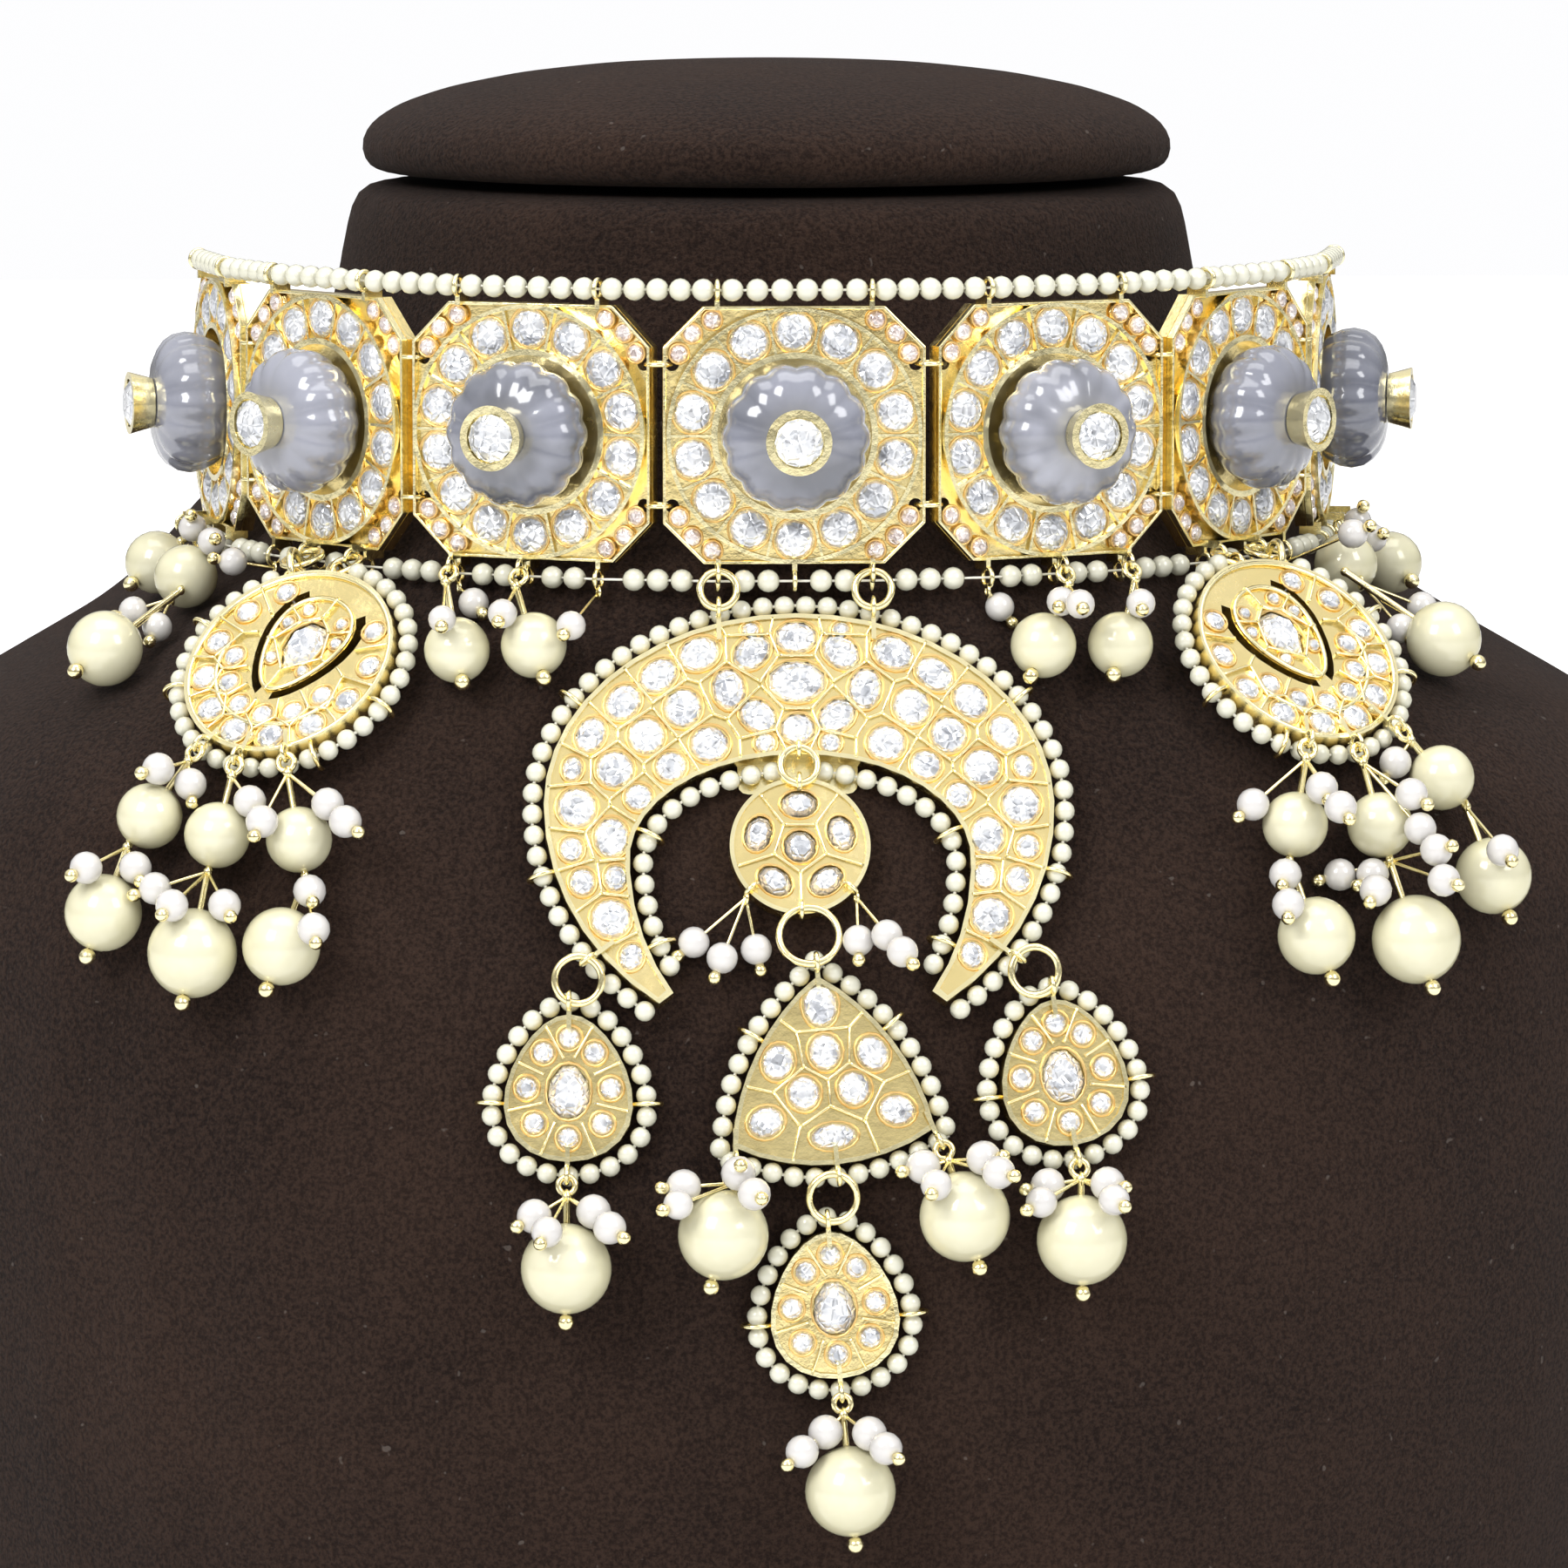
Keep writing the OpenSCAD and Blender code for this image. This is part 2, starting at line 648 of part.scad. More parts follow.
module crescent() {
    color(gold)
        place(crescent_frame)
            difference() {
                union() {
                    linear_extrude(plate_t)
                        polygon(crescent_shape);
                    difference() {
                        linear_extrude(rail_t)
                            polygon(crescent_shape);
                        translate([0, 0, 0.5])
                            linear_extrude(rail_t)
                                polygon(crescent_rail);
                    }
                    for (side = [-1, 1]) {
                        bail([side * loop_side, crescent_top], 90);
                        bail([side * horn_bail[0], horn_bail[1]], side < 0 ? 180 - horn_turn : horn_turn);
                    }
                    for (i = [4, 9, 21, 26]) {
                        staple(edge_at(crescent_outer_edge, i));
                    }
                    for (side = [-1, 1]) {
                        for (i = [1, 7]) {
                            scale_x(side)
                                staple(edge_at(crescent_inner_edge, i), 0.55);
                        }
                    }
                    standing_loop([0, inner_top + 0.5], 90);
                }
                seats(crescent_flower, seat_low, 9);
                seats(crescent_cells, seat_low, 9);
            }
}
module crescent_stones() {
    color(pale_stone)
        place(crescent_frame)
            stones(crescent_flower, stone_low, stone_high);
}
module crescent_edging() {
    color(pearl_white)
        place(crescent_frame) {
            tube(
                lift_path(crescent_outer_edge, edging_d / 2),
                [for (p = crescent_outer_edge) edging_d / 2], 8, [0, 0, 1]
            );
            for (side = [-1, 1]) {
                inner = [for (p = crescent_inner_edge) [side * p[0], p[1], edging_d / 2]];
                tube(inner, [for (p = inner) edging_d / 2], 8, [0, 0, 1]);
            }
        }
}

// The flower disc in the middle of the crescent
disc_r = disc_d / 2;
disc_y = -cw * 0.164;
disc_petals = [
    for (i = [0 : 4])
        let(a = 90 + i * 72)
        [disc_r * 0.62 * cos(a), disc_y + disc_r * 0.62 * sin(a), disc_r * 0.2, disc_r * 0.27, a, 0]
];
disc_set = concat([[0, disc_y, disc_r * 0.24, disc_r * 0.24, 0, 0]], disc_petals);
disc_hang = [0, disc_y + disc_r - 0.7];
disc_low = [0, disc_y - disc_r + 0.4];
module disc() {
    color(gold)
        place(crescent_frame)
            difference() {
                union() {
                    translate([0, disc_y, 0])
                        cylinder(r = disc_r, h = plate_t, $fn = 64);
                    translate([0, disc_y, plate_t - 0.2])
                        rim(disc_r, 0.5);
                    standing_loop(disc_hang, 90);
                    standing_loop(disc_low, 90);
                    for (side = [-1, 1]) {
                        translate([0, disc_y, 0])
                            rotate([0, 0, -90 + side * 48])
                                translate([disc_r - 0.4, 0, 0])
                                    standing_loop([0, 0], 0);
                    }
                }
                seats(disc_set, seat_low, 9);
            }
}
module rim(r, wall) {
    difference() {
        cylinder(r = r, h = 0.7, $fn = 64);
        translate([0, 0, -1])
            cylinder(r = r - wall, h = 3, $fn = 64);
    }
}
module disc_stones() {
    color(pale_stone)
        place(crescent_frame)
            stones(disc_set, stone_low, stone_high);
}

// The triangle pendant with curved sides
tri_w = cw * 0.395;
tri_up = cw * 0.382;
tri_down = cw * 0.25;
tri_frame = lying(
    2.7, hang_level - 59.3, 14, 1.5, 4.8,
    [for (y = [-15 : 1.5 : 15]) each [[-4, y], [0, y], [4, y]]]
);
tri_corners = [[0, tri_up], [-tri_w, -tri_down], [tri_w, -tri_down]];
tri_bulge = [2.3, 3.1, 2.3];
function tri_points(grow, steps) = [
    for (k = [0 : 2]) for (i = [0 : steps - 1])
        let(
            a = tri_corners[k],
            b = tri_corners[(k + 1) % 3],
            d = (b - a) / norm(b - a),
            t = i / steps,
            out = [d[1], -d[0]],
            p = a + (b - a) * t + out * tri_bulge[k] * 4 * t * (1 - t)
        )
        i == 0 ? p + p / norm(p) * grow * 1.4 : p + out * (grow + 0.12)
];
tri_set = [
    for (s = [
        [0, 0.68, 0.14, 0.19, 0, 0.25], [0, 0.215, 0.13, 0.15, 0, 0], [-0.47, 0.16, 0.125, 0.15, -25, 0],
        [0.47, 0.16, 0.125, 0.15, 25, 0], [-0.25, -0.17, 0.13, 0.14, 0, 0], [0.25, -0.17, 0.13, 0.14, 0, 0],
        [-0.65, -0.42, 0.15, 0.12, 15, 0], [0.65, -0.42, 0.15, 0.12, -15, 0], [0, -0.62, 0.2, 0.095, 0, 0]
    ])
        [s[0] * tri_w, s[1] * tri_w, s[2] * tri_w, s[3] * tri_w, s[4], s[5]]
];
tri_edge = tri_points(edge_out, 7);
tri_left_turn = 264;
tri_right_turn = -72;
tri_bottom = [0, -tri_down - 3.1 + 0.4];
tri_side = [tri_w - 0.3, -tri_down + 0.2];
module railed(outer, inner) {
    linear_extrude(plate_t)
        polygon(outer);
    difference() {
        linear_extrude(rail_t)
            polygon(outer);
        translate([0, 0, 0.5])
            linear_extrude(rail_t)
                polygon(inner);
    }
}
module triangle() {
    color(gold)
        place(tri_frame)
            difference() {
                union() {
                    railed(tri_points(0, 8), tri_points(-0.55, 8));
                    bail([0, tri_up - 0.4], 90);
                    bail(tri_bottom, -90);
                    bail([-tri_side[0], tri_side[1]], tri_left_turn);
                    bail(tri_side, tri_right_turn);
                    for (i = [3, 18]) {
                        staple(edge_at(tri_edge, i));
                    }
                }
                seats(tri_set, seat_low, 9);
            }
}
module triangle_stones() {
    color(pale_stone)
        place(tri_frame)
            stones(tri_set, stone_low, stone_high);
}
module triangle_edging() {
    color(pearl_white)
        place(tri_frame)
            closed_tube(lift_path(tri_edge, edging_d / 2), edging_d / 2, 8, [0, 0, 1]);
}

// Three teardrop pendants
tear_w = cw * 0.245;
tear_h = cw * 0.287;
function tear_points(grow, steps) = [
    for (i = [0 : steps - 1])
        let(a = 90 + i * 360 / steps)
        [(tear_w + grow) * cos(a) * (1 - 0.24 * sin(a)), (tear_h + grow) * sin(a)]
];
tear_probes = [for (y = [-12 : 1.5 : 12]) each [[-4, y], [0, y], [4, y]]];
left_frame = lying(-27.6, hang_level - 60.8, 12.5, -5, 0, tear_probes);
right_frame = lying(30.6, hang_level - 59.5, 13, 6, 6.4, tear_probes);
low_frame = lying(3.4, hang_level - 85.9, 4, 0, 4.3, tear_probes);
tear_stone = [0, -0.4, tear_w * 0.35, tear_h * 0.38, 0, 0.22];
tear_cells = [
    for (i = [0 : 7])
        let(a = 90 + i * 45)
        [tear_w * 0.67 * cos(a) * (1 - 0.2 * sin(a)), tear_h * 0.68 * sin(a), 1.02, 1.02, 0, 0]
];
tear_edge = tear_points(edge_out + 0.2, 18);
tear_top = [0, tear_h - 0.4];
tear_bottom = [0, -tear_h + 0.4];
module teardrop(f) {
    color(gold)
        place(f)
            difference() {
                union() {
                    railed(tear_points(0, 24), tear_points(-0.55, 24));
                    bail(tear_top, 90);
                    bail(tear_bottom, -90);
                    for (i = [5, 13]) {
                        staple(edge_at(tear_edge, i));
                    }
                }
                seats([tear_stone], seat_low, 9);
                seats(tear_cells, seat_low + 0.3, 9);
            }
}
module teardrop_stones() {
    color(pale_stone)
        for (f = [left_frame, right_frame, low_frame]) {
            place(f)
                stones([tear_stone], stone_low, stone_high);
        }
}
module teardrop_edging() {
    color(pearl_white)
        for (f = [left_frame, right_frame, low_frame]) {
            place(f)
                closed_tube(lift_path(tear_edge, edging_d / 2), edging_d / 2, 8, [0, 0, 1]);
        }
}

// The two side discs: a moon with its horns up round a leaf, pierced between them
moon_r = moon_d / 2;
moon_probes = [for (i = [0 : 23]) [(moon_r + 2) * cos(i * 15), (moon_r + 2) * sin(i * 15)]];
moon_left_frame = lying(
    lug_at(2, 1)[0] - 5.97, hang_level - 15.3, 42, -29, -20, concat(moon_probes, [[0, 0]])
);
moon_right_frame = lying(
    lug_at(6, -1)[0] + 6.57, hang_level - 14.9, 42, 30, 20, concat(moon_probes, [[0, 0]])
);
leaf_w = moon_r * 0.37;
leaf_h = moon_r * 0.52;
leaf_y = moon_r * 0.2;
function leaf_point(grow, a) =
    [(leaf_w + grow) * cos(a) * (1 + 0.3 * sin(a)), leaf_y + (leaf_h + grow) * sin(a)];
slit = concat(
    [for (i = [0 : 10]) leaf_point(1.5, -76 + i * 13)],
    [for (i = [10 : -1 : 0]) leaf_point(0.35, -76 + i * 13)]
);
leaf_stone = [0, leaf_y, leaf_w * 0.56, leaf_h * 0.5, 0, -0.25];
leaf_cells = [
    for (a = [20, 55, 125, 160, 215, 325])
        [leaf_w * 0.78 * cos(a) * (1 + 0.3 * sin(a)), leaf_y + leaf_h * 0.78 * sin(a), 0.72, 0.72, 0, 0]
];
moon_outer_cells = [
    for (i = [-5 : 5])
        let(
            a = -90 + i * 27.5,
            r = moon_r * (0.125 - 0.007 * abs(i))
        )
        [moon_r * 0.815 * cos(a), moon_r * 0.815 * sin(a), r, r, a, 0]
];
moon_inner_cells = [
    for (i = [-3 : 2])
        let(a = -90 + (i + 0.5) * 30)
        [moon_r * 0.57 * cos(a), moon_r * 0.57 * sin(a) - 0.3, moon_r * 0.085, moon_r * 0.085, a, 0]
];
function turn_to(f, p) =
    let(d = p - f[3])
    atan2(d * f[1], d * f[0]);
function rim_at(turn) = [(moon_r - 0.4) * cos(turn), (moon_r - 0.4) * sin(turn)];
module rim_loop(turn, flat) {
    rotate([0, 0, turn])
        translate([moon_r + 0.85, 0, plate_t / 2])
            rotate([flat ? 0 : 90, 0, 0])
                ring_of(1.1, loop_wire + 0.02);
}
function rim_hole(f, turn) =
    in_frame(f, [(moon_r + 0.85) * cos(turn), (moon_r + 0.85) * sin(turn), plate_t / 2]);
module moon(f, drops, near_lug, far_lug) {
    color(gold)
        place(f)
            difference() {
                union() {
                    cylinder(r = moon_r, h = plate_t, $fn = 96);
                    translate([0, 0, plate_t - 0.2])
                        rim(moon_r, 0.55);
                    for (d = drops) {
                        bail(rim_at(turn_to(f, d)), turn_to(f, d));
                    }
                    rim_loop(turn_to(f, near_lug), false);
                    rim_loop(turn_to(f, far_lug), true);
                    for (a = [0, 180, -38, 218]) {
                        staple([(moon_r + edge_out) * cos(a), (moon_r + edge_out) * sin(a), a + 90]);
                    }
                }
                seats([leaf_stone], seat_low, 9);
                seats(concat(moon_outer_cells, moon_inner_cells, leaf_cells), seat_low + 0.3, 9);
                for (side = [-1, 1]) {
                    scale_x(side)
                        translate([0, 0, -1])
                            linear_extrude(6)
                                polygon(slit);
                }
            }
}
module moon_left() {
    moon(
        moon_left_frame, [for (feet = left_feet) pearl_at(from_hole(moon_left_frame[3], feet)[0])],
        lug_at(2, 1), lug_at(2, 0)
    );
}
module moon_right() {
    moon(
        moon_right_frame, [for (feet = right_feet) pearl_at(from_hole(moon_right_frame[3], feet)[0])],
        lug_at(6, -1), lug_at(6, 0)
    );
}
module leaf_stones() {
    color(pale_stone)
        for (f = [moon_left_frame, moon_right_frame]) {
            place(f)
                stones([leaf_stone], stone_low, stone_high);
        }
}
// The edging of a side disc runs round it from one hanger loop to the other
function edging_turns(f, a, b) =
    let(
        t = [turn_to(f, a), turn_to(f, b)],
        from = max(t) + 11
    )
    [from, 360 - (max(t) - min(t)) - 22];
module moon_ring(f, turns) {
    place(f)
        translate([0, 0, edging_d / 2])
            rotate([0, 0, turns[0]])
                rotate_extrude(angle = turns[1], $fn = 96)
                    translate([moon_r + edge_out, 0])
                        circle(r = edging_d / 2, $fn = 16);
}
module moon_edging() {
    color(pearl_white) {
        moon_ring(moon_left_frame, edging_turns(moon_left_frame, lug_at(2, 1), lug_at(2, 0)));
        moon_ring(moon_right_frame, edging_turns(moon_right_frame, lug_at(6, -1), lug_at(6, 0)));
    }
}

// Drop pearls on ball-ended pins. A drop is [hole it hangs in, side direction, pearls].
// Each pearl is [x, z, radius] measured from that hole, or from the middle of its side disc.
// Four numbers place a pearl beside the neck: [0, z, radius, degrees round from its plaque]
big_r = pearl_big / 2;
mid_r = pearl_mid / 2;
small_r = pearl_small / 2;
function kept_off(p, least) = norm([p[0], p[1]]) < least
    ? [p[0] * least / norm([p[0], p[1]]), p[1] * least / norm([p[0], p[1]]), p[2]]
    : p;
function pearl_at(p) = len(p) > 3
    ? kept_off(on_neck(p[3], p[1], p[2] + rest_gap), ring_back + strand_lift + strand_d / 2 + p[2] + rest_gap)
    : on_chest(p[0], p[1], p[2] + rest_gap);
function from_hole(p, feet) = [for (q = feet) [p[0] + q[0], p[2] + q[1], q[2]]];
function from_plaque(k, feet) =
    [for (q = feet) [0, hang_level + q[1], q[2], (k - 4) * plaque_step + q[3]]];
left_feet = [
    [[-16.16, -18.48, small_r], [-21.06, -29.08, mid_r]],
    [[-8.16, -19.68, small_r], [-10.56, -33.28, big_r]],
    [[1.34, -19.78, small_r], [-0.56, -31.98, mid_r]]
];
right_feet = [
    [[-1.96, -19.73, small_r], [-0.16, -32.33, mid_r]],
    [[8.34, -20.23, small_r], [11.54, -33.53, big_r]],
    [[16.44, -16.03, small_r], [21.64, -26.73, mid_r]]
];
function moon_drop(f, list) =
    let(
        feet = from_hole(f[3], list),
        turn = turn_to(f, pearl_at(feet[0]))
    )
    [bail_hole(f, rim_at(turn), turn), f[1] * cos(turn) - f[0] * sin(turn), feet];
function lug_drop(k, side, list) =
    [lug_at(k, side), plaque_frame(k)[0], len(list[0]) > 3 ? from_plaque(k, list) : from_hole(lug_at(k, side), list)];
function plate_drop(f, at, turn, side, list) =
    let(hole = bail_hole(f, at, turn))
    [hole, side, from_hole(hole, list)];
drops = concat(
    [for (feet = left_feet) moon_drop(moon_left_frame, feet)],
    [for (feet = right_feet) moon_drop(moon_right_frame, feet)],
    [
        lug_drop(3, -1, [[1.65, -12.2, small_r]]),
        lug_drop(3, 0, [[2.32, -11.1, small_r]]),
        lug_drop(5, 0, [[-3.82, -11.3, small_r]]),
        lug_drop(5, 1, [[-2.85, -11.9, small_r]]),
        lug_drop(1, 0, [[0, -8.4, small_r, 1.56]]),
        lug_drop(1, 1, [[0, -8.8, small_r, 12.06], [0, -16.7, mid_r, 17.26]]),
        lug_drop(7, 0, [[0, -8.9, small_r, -3.56]]),
        lug_drop(7, -1, [[0, -7.8, small_r, -14.06], [0, -16.3, mid_r, -18.56]]),
        plate_drop(left_frame, tear_bottom, -90, left_frame[0], [[0.35, -11.1, big_r]]),
        plate_drop(right_frame, tear_bottom, -90, right_frame[0], [[-0.33, -9.75, big_r]]),
        plate_drop(low_frame, tear_bottom, -90, low_frame[0], [[0.92, -11.7, big_r]]),
        plate_drop(
            tri_frame, [-tri_side[0], tri_side[1]], tri_left_turn,
            tri_frame[0] * cos(tri_left_turn - 270) + tri_frame[1] * sin(tri_left_turn - 270),
            [[-1.46, -8.82, big_r]]
        ),
        plate_drop(
            tri_frame, tri_side, tri_right_turn,
            tri_frame[0] * cos(tri_right_turn + 90) + tri_frame[1] * sin(tri_right_turn + 90),
            [[2.53, -8.98, big_r]]
        )
    ]
);
hang_step = 1.25;
function hang_dir(d) =
    let(
        v = pearl_at(d[2][0]) - d[0],
        across = v - d[1] * (v * d[1])
    )
    across / norm(across);
function neck_at(d) = d[0] + hang_dir(d) * (hang_step + loop_r + 0.3);
function drop_dir(d) =
    let(v = pearl_at(d[2][0]) - neck_at(d))
    v / norm(v);
function bend_at(d) = pearl_at(d[2][0]) + drop_dir(d) * (d[2][0][2] + 0.6);
function second_dir(d) =
    let(v = pearl_at(d[2][1]) - bend_at(d))
    v / norm(v);
module drilled_pearl(at, dir, r) {
    translate(at)
        rotate([0, acos(dir[2]), atan2(dir[1], dir[0])])
            difference() {
                sphere(r = r, $fn = 48);
                cylinder(r = pin_d / 2 + fit_gap, h = r * 3, center = true, $fn = 24);
            }
}
module drop_pearls() {
    color(pearl_white)
        for (d = drops) {
            drilled_pearl(pearl_at(d[2][0]), drop_dir(d), d[2][0][2]);
            if (len(d[2]) > 1) {
                drilled_pearl(pearl_at(d[2][1]), second_dir(d), d[2][1][2]);
            }
        }
}
// A ball on a wire that runs along dir, turned so that the wire meets its plain side
module wire_ball(at, dir, r) {
    translate(at)
        rotate([0, acos(dir[2]) + 90, atan2(dir[1], dir[0])])
            rotate([0, 0, 90])
                sphere(r = r, $fn = 24);
}
module drop_pins() {
    color(gold)
        for (d = drops) {
            dir = drop_dir(d);
            last = d[2][len(d[2]) - 1];
            end_dir = len(d[2]) > 1 ? second_dir(d) : dir;
            finish = pearl_at(last) + end_dir * (last[2] + ball_d / 2 + 0.06);
            eye = d[0] + hang_dir(d) * hang_step;
            face = cross(d[1], hang_dir(d));
            neck = neck_at(d);
            union() {
                translate(eye)
                    rotate([0, acos(face[2]), atan2(face[1], face[0])])
                        ring_of(loop_r, loop_wire);
                wire_ball(neck, len(d[2]) > 1 ? dir : hang_dir(d), pin_d / 2 + 0.2);
                wire_ball(finish, -end_dir, ball_d / 2);
                if (len(d[2]) > 1) {
                    rod(neck, bend_at(d), pin_d / 2);
                    wire_ball(bend_at(d), end_dir, pin_d / 2 + 0.15);
                    rod(bend_at(d), finish, pin_d / 2);
                }
                else {
                    rod(neck, finish, pin_d / 2);
                }
            }
        }
}

// Rings that hang one piece from another, each through two holes
module link(a, b, axis) {
    v = b - a;
    out = cross(v, axis);
    face = out / norm(out);
    translate((a + b) / 2)
        rotate([0, acos(face[2]), atan2(face[1], face[0])])
            ring_of(norm(v) / 2 + 0.16, loop_wire);
}
module two_links(a, b, axis) {
    v = (b - a) / norm(b - a);
    middle = (a + b) / 2;
    link(a, middle + v * 0.4, axis);
    link(middle - v * 0.4, b, cross(v, axis));
}
module moon_links(k, near, far, f) {
    link(lug_at(k, near), rim_hole(f, turn_to(f, lug_at(k, near))), plaque_frame(k)[0]);
    two_links(lug_at(k, far), rim_hole(f, turn_to(f, lug_at(k, far))), plaque_frame(k)[0]);
}
module hanger_rings() {
    color(gold) {
        for (side = [-1, 1]) {
            link(
                lug_at(4, side),
                bail_hole(crescent_frame, [side * loop_side, crescent_top], 90),
                crescent_frame[0]
            );
        }
        link(
            bail_hole(crescent_frame, [-horn_bail[0], horn_bail[1]], 180 - horn_turn),
            bail_hole(left_frame, tear_top, 90), left_frame[0]
        );
        link(
            bail_hole(crescent_frame, horn_bail, horn_turn),
            bail_hole(right_frame, tear_top, 90), right_frame[0]
        );
        link(
            standing_hole(crescent_frame, [0, inner_top + 0.5]),
            standing_hole(crescent_frame, disc_hang), crescent_frame[0]
        );
        link(
            standing_hole(crescent_frame, disc_low),
            bail_hole(tri_frame, [0, tri_up - 0.4], 90), tri_frame[0]
        );
        link(
            bail_hole(tri_frame, tri_bottom, -90),
            bail_hole(low_frame, tear_top, 90), low_frame[0]
        );
        moon_links(2, 1, 0, moon_left_frame);
        moon_links(6, -1, 0, moon_right_frame);
    }
}

// The hidden back stretch: a plain cord round the nape with capped ends and one plain clasp
cap_from = plaque_w / 2 + 4.4;
cord_rise = 6;
cord_side = 98;
function cord_turn(t) = cord_side + 4 + (180 - cord_side - 4) * t;
function cord_back(t) =
    let(
        turn = cord_turn(t),
        s = max(0, (152 - turn) / (152 - cord_side)),
        z = choker_z + cord_rise * (1 - s) * (1 - s) * (1 + 2 * s),
        r = bust_radius(turn, z) + cord_d / 2 + rest_gap + 2.3 + 10.5 * s * s * (0.6 + 0.4 * s)
    )
    [r * sin(turn), -r * cos(turn), z];
cord_half = concat(
    [for (x = [cap_from + 1.4, cap_from + 4, cap_from + 6.5]) in_frame(plaque_frame(7), [x, 0, 0.7])],
    [for (i = [1 : 14]) cord_back(i / 14)]
);
cord_path = concat(
    [for (p = cord_half) p],
    [for (i = [len(cord_half) - 2 : -1 : 0]) [-cord_half[i][0], cord_half[i][1], cord_half[i][2]]]
);
module back_cord() {
    color(cord_gold)
        tube(cord_path, [for (p = cord_path) cord_d / 2], 8, [0, 0, 1]);
}
module cord_ends() {
    color(gold)
        for (side = [-1, 1]) {
            place(plaque_frame(side < 0 ? 1 : 7))
                scale_x(side)
                    translate([plaque_w / 2, 0, 0.7])
                        union() {
                            translate([3.2, 0, 0])
                                ring_of(1.3, 0.35);
                            difference() {
                                translate([4.4, 0, 0])
                                    rotate([0, 90, 0])
                                        cylinder(r = cord_d / 2 + 0.7, h = 5.6, $fn = 32);
                                translate([5.6, 0, 0])
                                    rotate([0, 90, 0])
                                        cylinder(r = cord_d / 2 + fit_gap, h = 9, $fn = 32);
                            }
                        }
        }
}
module cord_clasp() {
    back = cord_back(1);
    color(gold)
        translate([0, back[1], back[2]])
            rotate([0, 90, 0])
                difference() {
                    cylinder(r = cord_d / 2 + 2.3, h = 11, center = true, $fn = 48);
                    cylinder(r = cord_d / 2 + 0.5, h = 20, center = true, $fn = 48);
                }
}

neck_bust();
bust_cap();
plaque(1);  // plaque_1
plaque(2);  // plaque_2
plaque(3);  // plaque_3
plaque(4);  // plaque_4
plaque(5);  // plaque_5
plaque(6);  // plaque_6
plaque(7);  // plaque_7
polki(1);  // polki_1
polki(2);  // polki_2
polki(3);  // polki_3
polki(4);  // polki_4
polki(5);  // polki_5
polki(6);  // polki_6
polki(7);  // polki_7
melon(1);  // melon_1
melon(2);  // melon_2
melon(3);  // melon_3
melon(4);  // melon_4
melon(5);  // melon_5
melon(6);  // melon_6
melon(7);  // melon_7
bead_cups();
cup_stones();
plaque_links();
top_strand();
bottom_strand();
crescent();
crescent_stones();
crescent_edging();
disc();
disc_stones();
triangle();
triangle_stones();
triangle_edging();
teardrop(left_frame);  // teardrop_left
teardrop(right_frame);  // teardrop_right
teardrop(low_frame);  // teardrop_low
teardrop_stones();
teardrop_edging();
moon_left();
moon_right();
leaf_stones();
moon_edging();
drop_pearls();
drop_pins();
hanger_rings();
back_cord();
cord_ends();
cord_clasp();
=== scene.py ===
import math
import bpy
from mathutils import Matrix, Vector


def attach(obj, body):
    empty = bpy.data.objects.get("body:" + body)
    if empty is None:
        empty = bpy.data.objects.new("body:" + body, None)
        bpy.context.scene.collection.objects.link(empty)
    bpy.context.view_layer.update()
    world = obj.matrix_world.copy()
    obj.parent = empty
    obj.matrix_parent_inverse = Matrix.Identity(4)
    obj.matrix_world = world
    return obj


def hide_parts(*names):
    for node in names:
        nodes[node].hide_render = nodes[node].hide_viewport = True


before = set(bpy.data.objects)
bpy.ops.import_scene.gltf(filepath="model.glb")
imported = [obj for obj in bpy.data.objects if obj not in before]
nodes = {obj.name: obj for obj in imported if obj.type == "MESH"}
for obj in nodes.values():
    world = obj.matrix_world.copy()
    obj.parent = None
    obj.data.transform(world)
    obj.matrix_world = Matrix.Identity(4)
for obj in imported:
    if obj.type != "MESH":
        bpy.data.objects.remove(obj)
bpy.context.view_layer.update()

mm = 0.001


# placing: every piece is laid out in millimetres in the plane of its own plate

def plateFrame(spot, tip, yaw, roll):
    # columns: across the plate, up the plate, out of the plate, where its back lies
    tip, yaw, roll = (math.radians(v) for v in (tip, yaw, roll))
    out = Vector((math.sin(yaw) * math.cos(tip), -math.cos(yaw) * math.cos(tip), math.sin(tip)))
    flat = Vector((-out.y, out.x, 0)).normalized()
    across = flat * math.cos(roll) + out.cross(flat) * math.sin(roll)
    up = out.cross(across)
    place = Matrix((across, up, out)).transposed().to_4x4()
    place.translation = Vector(spot) * mm
    return place


def plaquePlace(k):
    turn = math.radians((k - 4) * choker["stepDegrees"])
    r = choker["backRadius"]
    return plateFrame((r * math.sin(turn), -r * math.cos(turn), choker["middleHeight"]),
                      0, math.degrees(turn), 0)


choker = {"stepDegrees": 26.185, "backRadius": 69.27, "middleHeight": 168.8, "width": 31.6, "height": 31,
          "cornerCut": 4.9, "loopSide": 9.29, "loopLevel": 17.5, "loopLift": 2.9}
plates = {
    "crescent": plateFrame((0, -80.99, 124.52), 21.8, 0, 0),
    "triangle": plateFrame((2.72, -91.55, 94.16), 14, 1.5, 4.8),
    "teardrop_left": plateFrame((-27.63, -90.65, 92.58), 12.5, -5, 0),
    "teardrop_right": plateFrame((30.65, -90.21, 93.91), 13, 6, 6.4),
    "teardrop_low": plateFrame((3.4, -95.16, 67.43), 4, 0, 4.3),
    "moon_left": plateFrame((-59.94, -62.94, 139.38), 42, -29, -20),
    "moon_right": plateFrame((60.76, -62.3, 140.13), 42, 30, 20),
}


def at(place, x, y, z):
    return place @ (Vector((x, y, z)) * mm)


